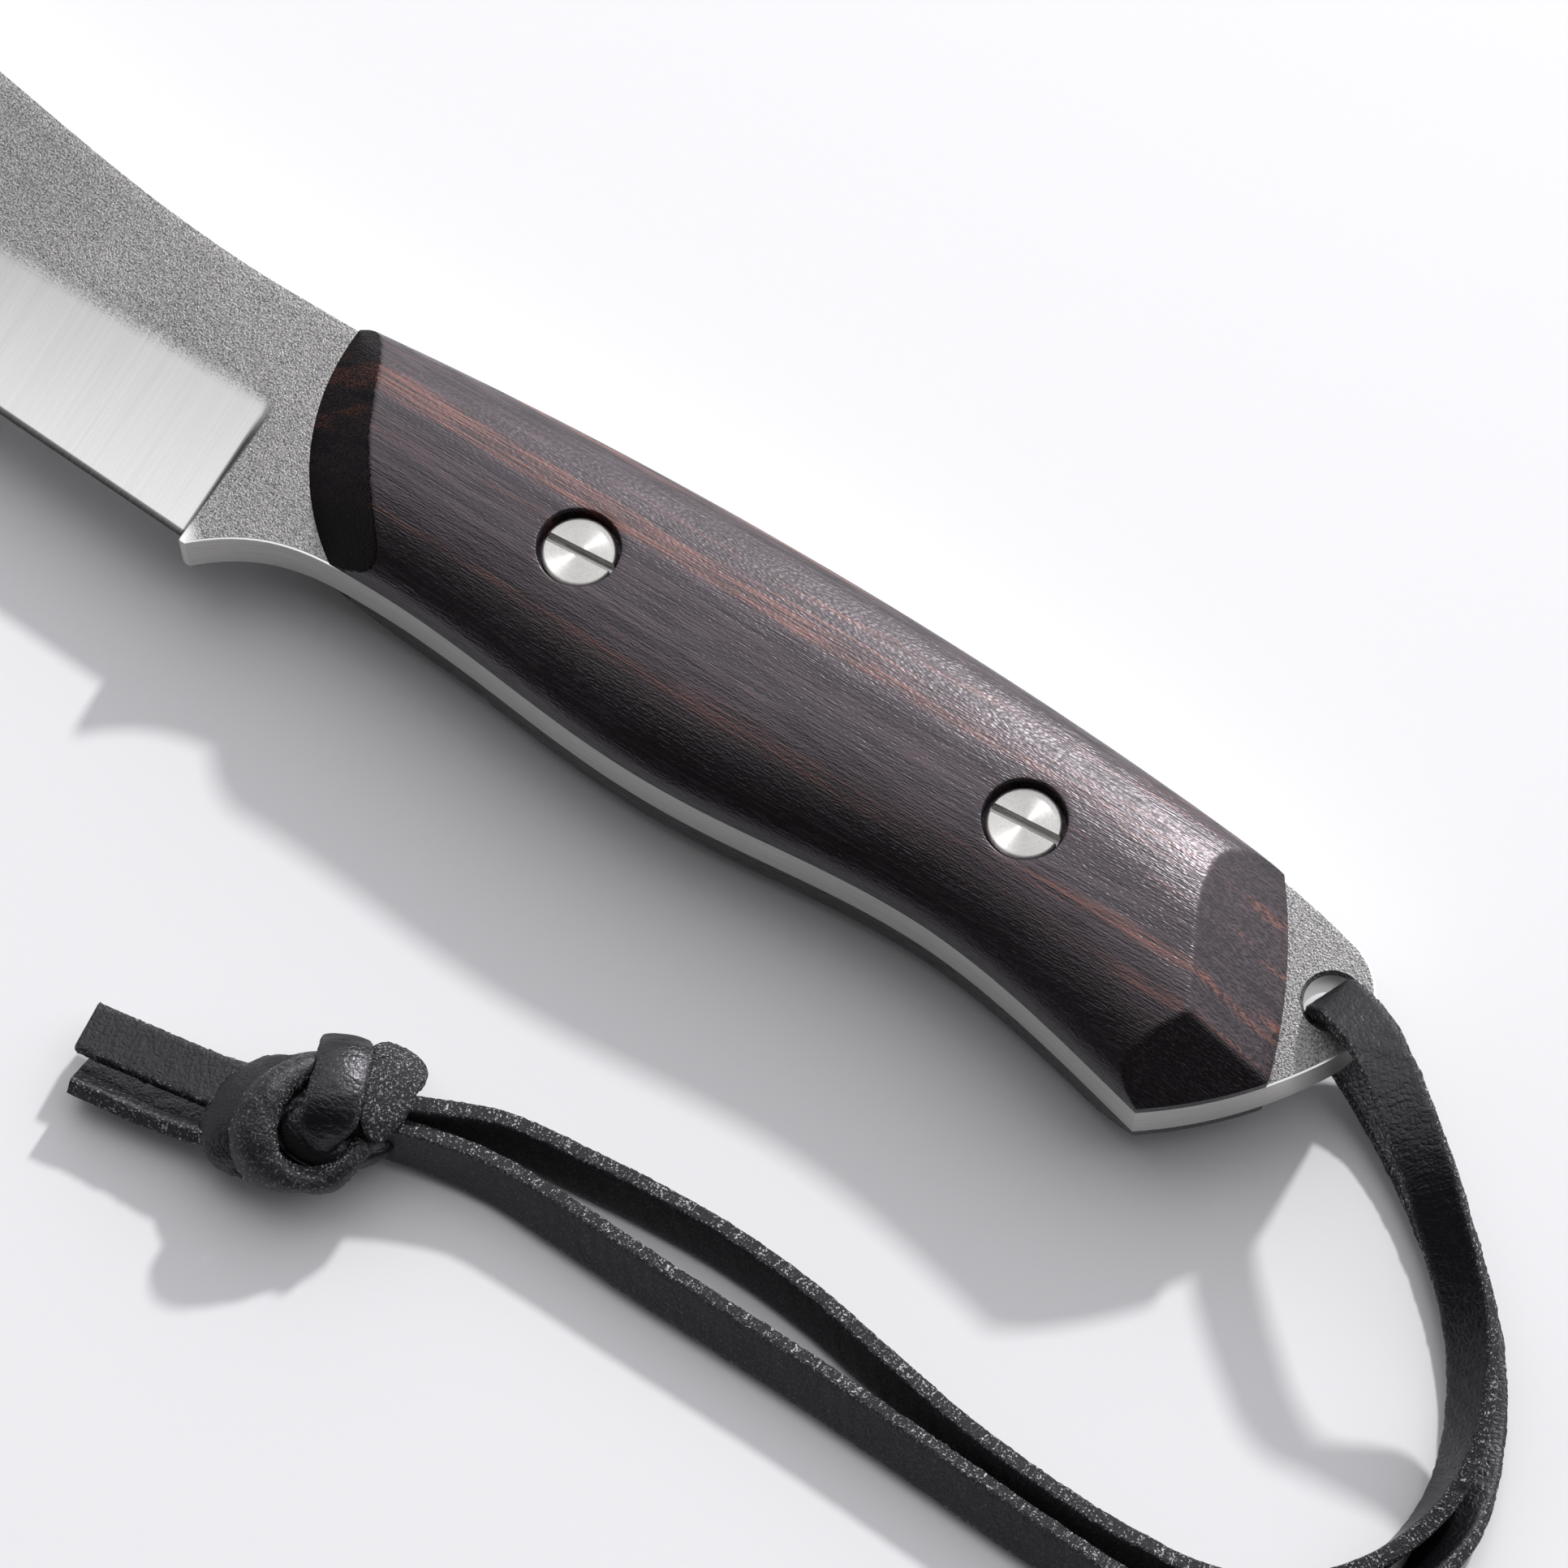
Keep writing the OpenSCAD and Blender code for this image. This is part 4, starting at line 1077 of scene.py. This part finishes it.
def makePlateSteel(look):
    # speckle of two grains on the flats, lines across the bevel and along the walls;
    # the border between flat and bevel is broken up by both
    material, shader, coords = newMaterial("plateSteel", {"Metallic": 1.0})
    ground, wall, paintedHighlight = layerValue("ground"), layerValue("wall"), ranged(layerValue("rim"), 0.05, 0.3)
    blast = mixValue(0.35, noise(coords, look["grain"], 1.0, 0.5), noise(coords, look["grain"] * 0.5, 2.0, 0.6))
    speck = rampOf(blast, (0.33, look["flatDark"]), (0.67, look["flatLight"]))
    flat = tinted(speck, noise(coords, look["patch"], 3.0, 0.55), (0.3, 0.86), (0.7, 1.06))
    lines = useGroup(brushLines, Vector=stretched(coords, look["brush"], (0, 0, climb)))
    bevel = tinted(look["bevel"], lines, (0.32, 0.84), (0.66, 1.0))
    drawn = useGroup(brushLines, Vector=stretched(coords, look["draw"]))
    edge = tinted(look["edgeWall"], drawn, (0.3, 0.75), (0.7, 1.0))
    border = minus(1.0, math2("ABSOLUTE", minus(times(ground, 2.0), 1.0)))
    bare = math2("ADD", ground, times(plus(swing(lines, 0.9), swing(blast, 0.6)), border), True)
    # painted highlight: where the rim layer runs high the colour turns pale
    whole = mixColour(wall, mixColour(paintedHighlight, mixColour(bare, flat, bevel), look["rim"]), edge)
    # painted shade: the keen edge, the plunge's step and its foot turn towards a near-black colour
    colour = mixColour(times(layerValue("keen"), 0.85), whole, look["keen"])
    wear = useGroup(handledWear, Vector=coords, Low=0.47, High=0.55)
    face = mixValue(bare, wear, mixValue(lines, 0.2, 0.34))
    rough = mixValue(wall, mixValue(paintedHighlight, face, 0.3), 0.36)
    pitted = swing(blast, minus(1.0, larger(bare, paintedHighlight)))
    scratched = swing(lines, times(bare, 0.014))
    dress(shader, colour, rough, mixValue(wall, plus(pitted, scratched), times(drawn, 0.12)), look["bump"])
    return material


# striped dark wood, grain along the handle

woodLook = {
    "black": (0.0080, 0.0064, 0.0088), "brown": (0.0250, 0.0180, 0.0215), "red": (0.086, 0.0345, 0.0265),
    # the belly colour is a painted shade: near black, laid over the lower side of the handle and its low facet
    "bellyPaintedShade": (0.0030, 0.0022, 0.0026), "sheen": (1.0, 0.91, 0.97), "rearDrop": 0.045,
    "drift": (9.0, 18.0, 10.0), "broad": (5.0, 270.0, 60.0), "narrow": (14.0, 900.0, 240.0),
    "gleam": (1900.0, 6500.0, 3200.0),
    "crown": {"gloss": 1.62, "paintedShade": 1.0, "fibre": (140.0, 5400.0, 3200.0), "bump": 0.000042},
    # the front facet's material: its colour is darkened to 0.36 as painted shade
    "facet": {"gloss": 1.2, "paintedShade": 0.36, "fibre": (4600.0, 4600.0, 4600.0), "bump": 0.00006},
}


def makeStripedWood(look, name, cut):
    # stripes: noise drawn out along the handle in two widths, red where both run high, darkened towards the belly by a
    # painted shade;
    # fibres: finer lines beside each other that lift and drop the tone, drawn out along the handle or round as speckle
    material, shader, coords = newMaterial(name, {"IOR": cut["gloss"], "Specular Tint": look["sheen"]})
    sway = swing(noise(stretched(coords, look["drift"]), 1.0, 1.0, 0.5), 0.005)
    moved = vectorMath("ADD", coords, addNode("ShaderNodeCombineXYZ", {"Y": sway, "Z": sway}).outputs[0])
    broad = noise(stretched(moved, look["broad"]), 1.0, 1.0, 0.5)
    narrow = noise(stretched(moved, look["narrow"]), 1.0, 2.0, 0.6)
    lines = noise(stretched(moved, cut["fibre"]), 1.0, 1.0, 0.5)
    tone = plus(times(broad, 0.48), times(narrow, 0.52))
    tone = minus(tone, times(layerValue("rearFacet"), look["rearDrop"]))
    colour = rampOf(tone, (0.36, look["black"]), (0.46, look["brown"]), (0.525, look["brown"]), (0.60, look["red"]))
    weave = ranged(lines, 0.36, 0.64, 0.15, 2.4)
    # painted shade: the fibre tone is multiplied by the material's shade factor, 0.36 on the front facet and 1 on the
    # crown
    colour = mixColour(1.0, colour, times(weave, cut["paintedShade"]), "MULTIPLY")
    # painted shade: towards the belly and on the low facet the colour goes to near black
    colour = mixColour(layerValue("belly"), colour, look["bellyPaintedShade"])
    wear = useGroup(handledWear, Vector=coords, Low=0.29, High=0.36)
    dips = rampOf(lines, (0.36, 1.0), (0.46, 0.0))
    gleam = noise(stretched(coords, look["gleam"]), 1.0, 0.0, 0.5)
    dress(shader, colour, plus(wear, times(dips, 0.15)), plus(lines, gleam), cut["bump"])
    return material


# turned stainless of the bolts

boltLook = {"steel": (0.60, 0.585, 0.565), "unturnedAndSlotShade": 0.7, "ring": 9000.0, "grain": 2500.0, "bump": 0.00001}


def shaded(colour, share):
    # a fixed colour times a number
    return tuple(share * c for c in colour)


def makeTurnedSteel(look, name, bolt):
    # rings: noise along the radius, on the heads only; the shine is drawn out along the rings
    material, shader, coords = newMaterial(name, {"Metallic": 1.0, "Anisotropic": 0.8})
    centred = stretched(coords, (1, 1, 0), shift=(-bolt[0] * mm, -bolt[1] * mm, 0))
    inputs = {"W": vectorMath("LENGTH", centred, out="Value"), "Scale": look["ring"], "Detail": 3.0}
    rings = addNode("ShaderNodeTexNoise", inputs, noise_dimensions="1D").outputs[0]
    fine = noise(coords, look["grain"], 3.0, 0.6)
    face = tinted(look["steel"], mixValue(0.5, rings, fine), (0.3, 0.78), (0.6, 1.0))
    # the slot's floor and the shank get the steel at 0.7: partly their plain unturned finish, partly a painted shade
    # in the slot
    colour = mixColour(layerValue("turned"), shaded(look["steel"], look["unturnedAndSlotShade"]), face)
    wear = useGroup(handledWear, Vector=coords, Low=0.3, High=0.4)
    tangent = addNode("ShaderNodeTangent", direction_type="UV_MAP", uv_map="turnedFace")
    feed(shader.inputs["Tangent"], tangent.outputs[0])
    dress(shader, colour, wear, mixValue(0.3, rings, fine), look["bump"])
    return material


# black leather: grained face, suede back, fibrous cut edges

leatherLook = {
    # the pale fibre colour stands partly for the cut edges' own fibres and partly for painted glints on them
    "grain": (0.0026, 0.0025, 0.0031), "wrinkle": 1.7, "cut": (0.0042, 0.0042, 0.0049), "fibre": (0.58, 0.58, 0.62),
    "sheen": (0.97, 0.94, 1.0), "gloss": 1.58, "pebbles": 1500.0, "fibres": 3600.0, "bump": 0.0002,
}


def makeLaceLeather(look):
    # the face has pebbles and wrinkles, the cut edges and a little of the back have pale fibres, whose bright specks
    # are partly painted glints
    material, shader, coords = newMaterial("laceLeather", {"IOR": look["gloss"], "Specular Tint": look["sheen"]})
    cut, flesh = layerValue("cutEdge"), layerValue("flesh")
    own = addNode("ShaderNodeCombineXYZ", {"X": layerValue("alongLace"), "Y": layerValue("acrossLace")}).outputs[0]
    inputs = {"Vector": coords, "Scale": look["pebbles"], "Randomness": 1.0}
    cells = addNode("ShaderNodeTexVoronoi", inputs, feature="DISTANCE_TO_EDGE").outputs[0]
    pebble = rampOf(cells, (0.0, 0.0), (0.25, 1.0))
    wrinkle = noise(stretched(own, (1.5, 0.45, 1.0)), 1.0, 4.0, 0.62)
    fibre = noise(coords, look["fibres"], 3.0, 0.7)
    strands = noise(stretched(own, (1.2, 9.0, 1.0)), 2.0, 3.0, 0.7)
    raw = larger(cut, times(flesh, 0.12))
    # pale specks on the cut edges: partly the lace's fibres, partly painted glints
    fibreAndPaintedGlint = rampOf(times(fibre, plus(strands, 0.5)), (0.57, 0.0), (0.68, 1.0))
    face = mixColour(wrinkle, look["grain"], shaded(look["grain"], look["wrinkle"]))
    colour = mixColour(raw, face, mixColour(fibreAndPaintedGlint, look["cut"], look["fibre"]))
    wear = useGroup(handledWear, Vector=coords, Low=0.28, High=0.40)
    rough = mixValue(larger(cut, times(flesh, 0.6)), wear, 0.72)
    faceHeight = plus(times(pebble, 0.12), times(wrinkle, 0.88))
    dress(shader, colour, rough, mixValue(raw, faceHeight, times(fibre, 1.3)), look["bump"])
    return material


def paint(pieces, *materials):
    # gives every piece its material slots
    for piece in pieces:
        for material in materials:
            piece.data.materials.append(material)


paint([plate], makePlateSteel(steelLook))
paint([upperScale, lowerScale], makeStripedWood(woodLook, "stripedWood", woodLook["crown"]),
      makeStripedWood(woodLook, "endGrainPaintedShadeWood", woodLook["facet"]))
paint([*laces.values(), knot], makeLaceLeather(leatherLook))
for end, bolt in zip(("front", "rear"), hs.bolts):
    paint([bolts[end + "_screw"], bolts[end + "_barrel_nut"]], makeTurnedSteel(boltLook, end + "TurnedSteel", bolt))
print("materials made")


# pieces ride on the part's bodies and stand for its nodes

slotPieces = {
    "plate_steel": {"blade_tang": plate},
    "scale_wood": {"upper_scale": upperScale, "lower_scale": lowerScale},
    "bolt_steel": bolts,
    "lace_leather": {
        "lace_upper_strand": laces["upperStrand"], "lace_lower_strand": laces["lowerStrand"],
        "lace_upper_tail": laces["upperTail"], "lace_lower_tail": laces["lowerTail"], "lace_knot": knot,
    },
}
boltBodies = {
    "front_screw": "front_screw", "rear_screw": "rear_screw",
    "front_barrel_nut": "front_nut", "rear_barrel_nut": "rear_nut",
}
for slot, pieces in slotPieces.items():
    for node, piece in pieces.items():
        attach(piece, boltBodies.get(node, "knife"))
        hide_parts(node)
print("pieces placed")


# floor and light

stageLook = {
    "floor": (0.875, 0.875, 0.89), "floorSpeck": 1.01, "floorRadius": 6.0,
    "key": 23.0, "keyPlace": (0.0, 1.45, 0.93), "keySize": 0.11,
    "overhead": 0.9, "overheadPlace": (-0.52, 0.12, 1.40), "overheadSize": (0.76, 0.6),
    "sky": (1.0, 1.0, 1.03), "skyTop": 1.25, "skyLow": 0.055, "skyLean": (0.0, 0.8, 0.6), "skySpan": (0.3, 0.86),
    "skySide": 0.5, "sideSpan": (-0.35, -0.8),
}


def makeFloor(look):
    # a wide disc, faintly speckled
    mesh = bpy.data.meshes.new("floor")
    rim = look["floorRadius"] * around(np.linspace(0, 2 * np.pi, 96, endpoint=False))
    mesh.from_pydata(lift(rim, 0).tolist(), [], [list(range(len(rim)))])
    material, shader, coords = newMaterial("paleFloor", {"Roughness": 0.85, "Specular IOR Level": 0.1})
    speck = mixColour(noise(coords, 900.0, 2.0), look["floor"], shaded(look["floor"], look["floorSpeck"]))
    feed(shader.inputs["Base Color"], speck)
    mesh.materials.append(material)
    addObject("floor", mesh)


def makeLamp(name, place, power, size):
    # an area lamp that looks at the middle of the picture; size is a disc's width or a rectangle's two sides
    data = bpy.data.lights.new(name, "AREA")
    data.energy = power
    if isinstance(size, tuple):
        data.shape = "RECTANGLE"
        data.size, data.size_y = size
    else:
        data.shape, data.size = "DISK", size
    aim(addObject(name, data), Vector(place), Vector())


def makeRoom(look):
    # soft light from above, behind and the blade's end, almost none from low in front:
    # brightness by height along a leaning axis
    world = scene.world = bpy.data.worlds.new("softRoom")
    world.use_nodes = True
    build.tree = world.node_tree
    build.tree.nodes.clear()
    way = addNode("ShaderNodeTexCoord").outputs["Generated"]
    rise = vectorMath("DOT_PRODUCT", way, look["skyLean"], "Value")
    aside = addNode("ShaderNodeSeparateXYZ", {0: way}).outputs["X"]
    glow = ranged(rise, *look["skySpan"], look["skyLow"], look["skyTop"])
    flank = ranged(aside, *look["sideSpan"], 0.0, look["skySide"])
    back = addNode("ShaderNodeBackground", {"Color": look["sky"], "Strength": larger(glow, flank)})
    addNode("ShaderNodeOutputWorld", {"Surface": back.outputs[0]})


makeFloor(stageLook)
for lamp in ("key", "overhead"):
    makeLamp(lamp, stageLook[lamp + "Place"], stageLook[lamp], stageLook[lamp + "Size"])
makeRoom(stageLook)
print("floor and light set")
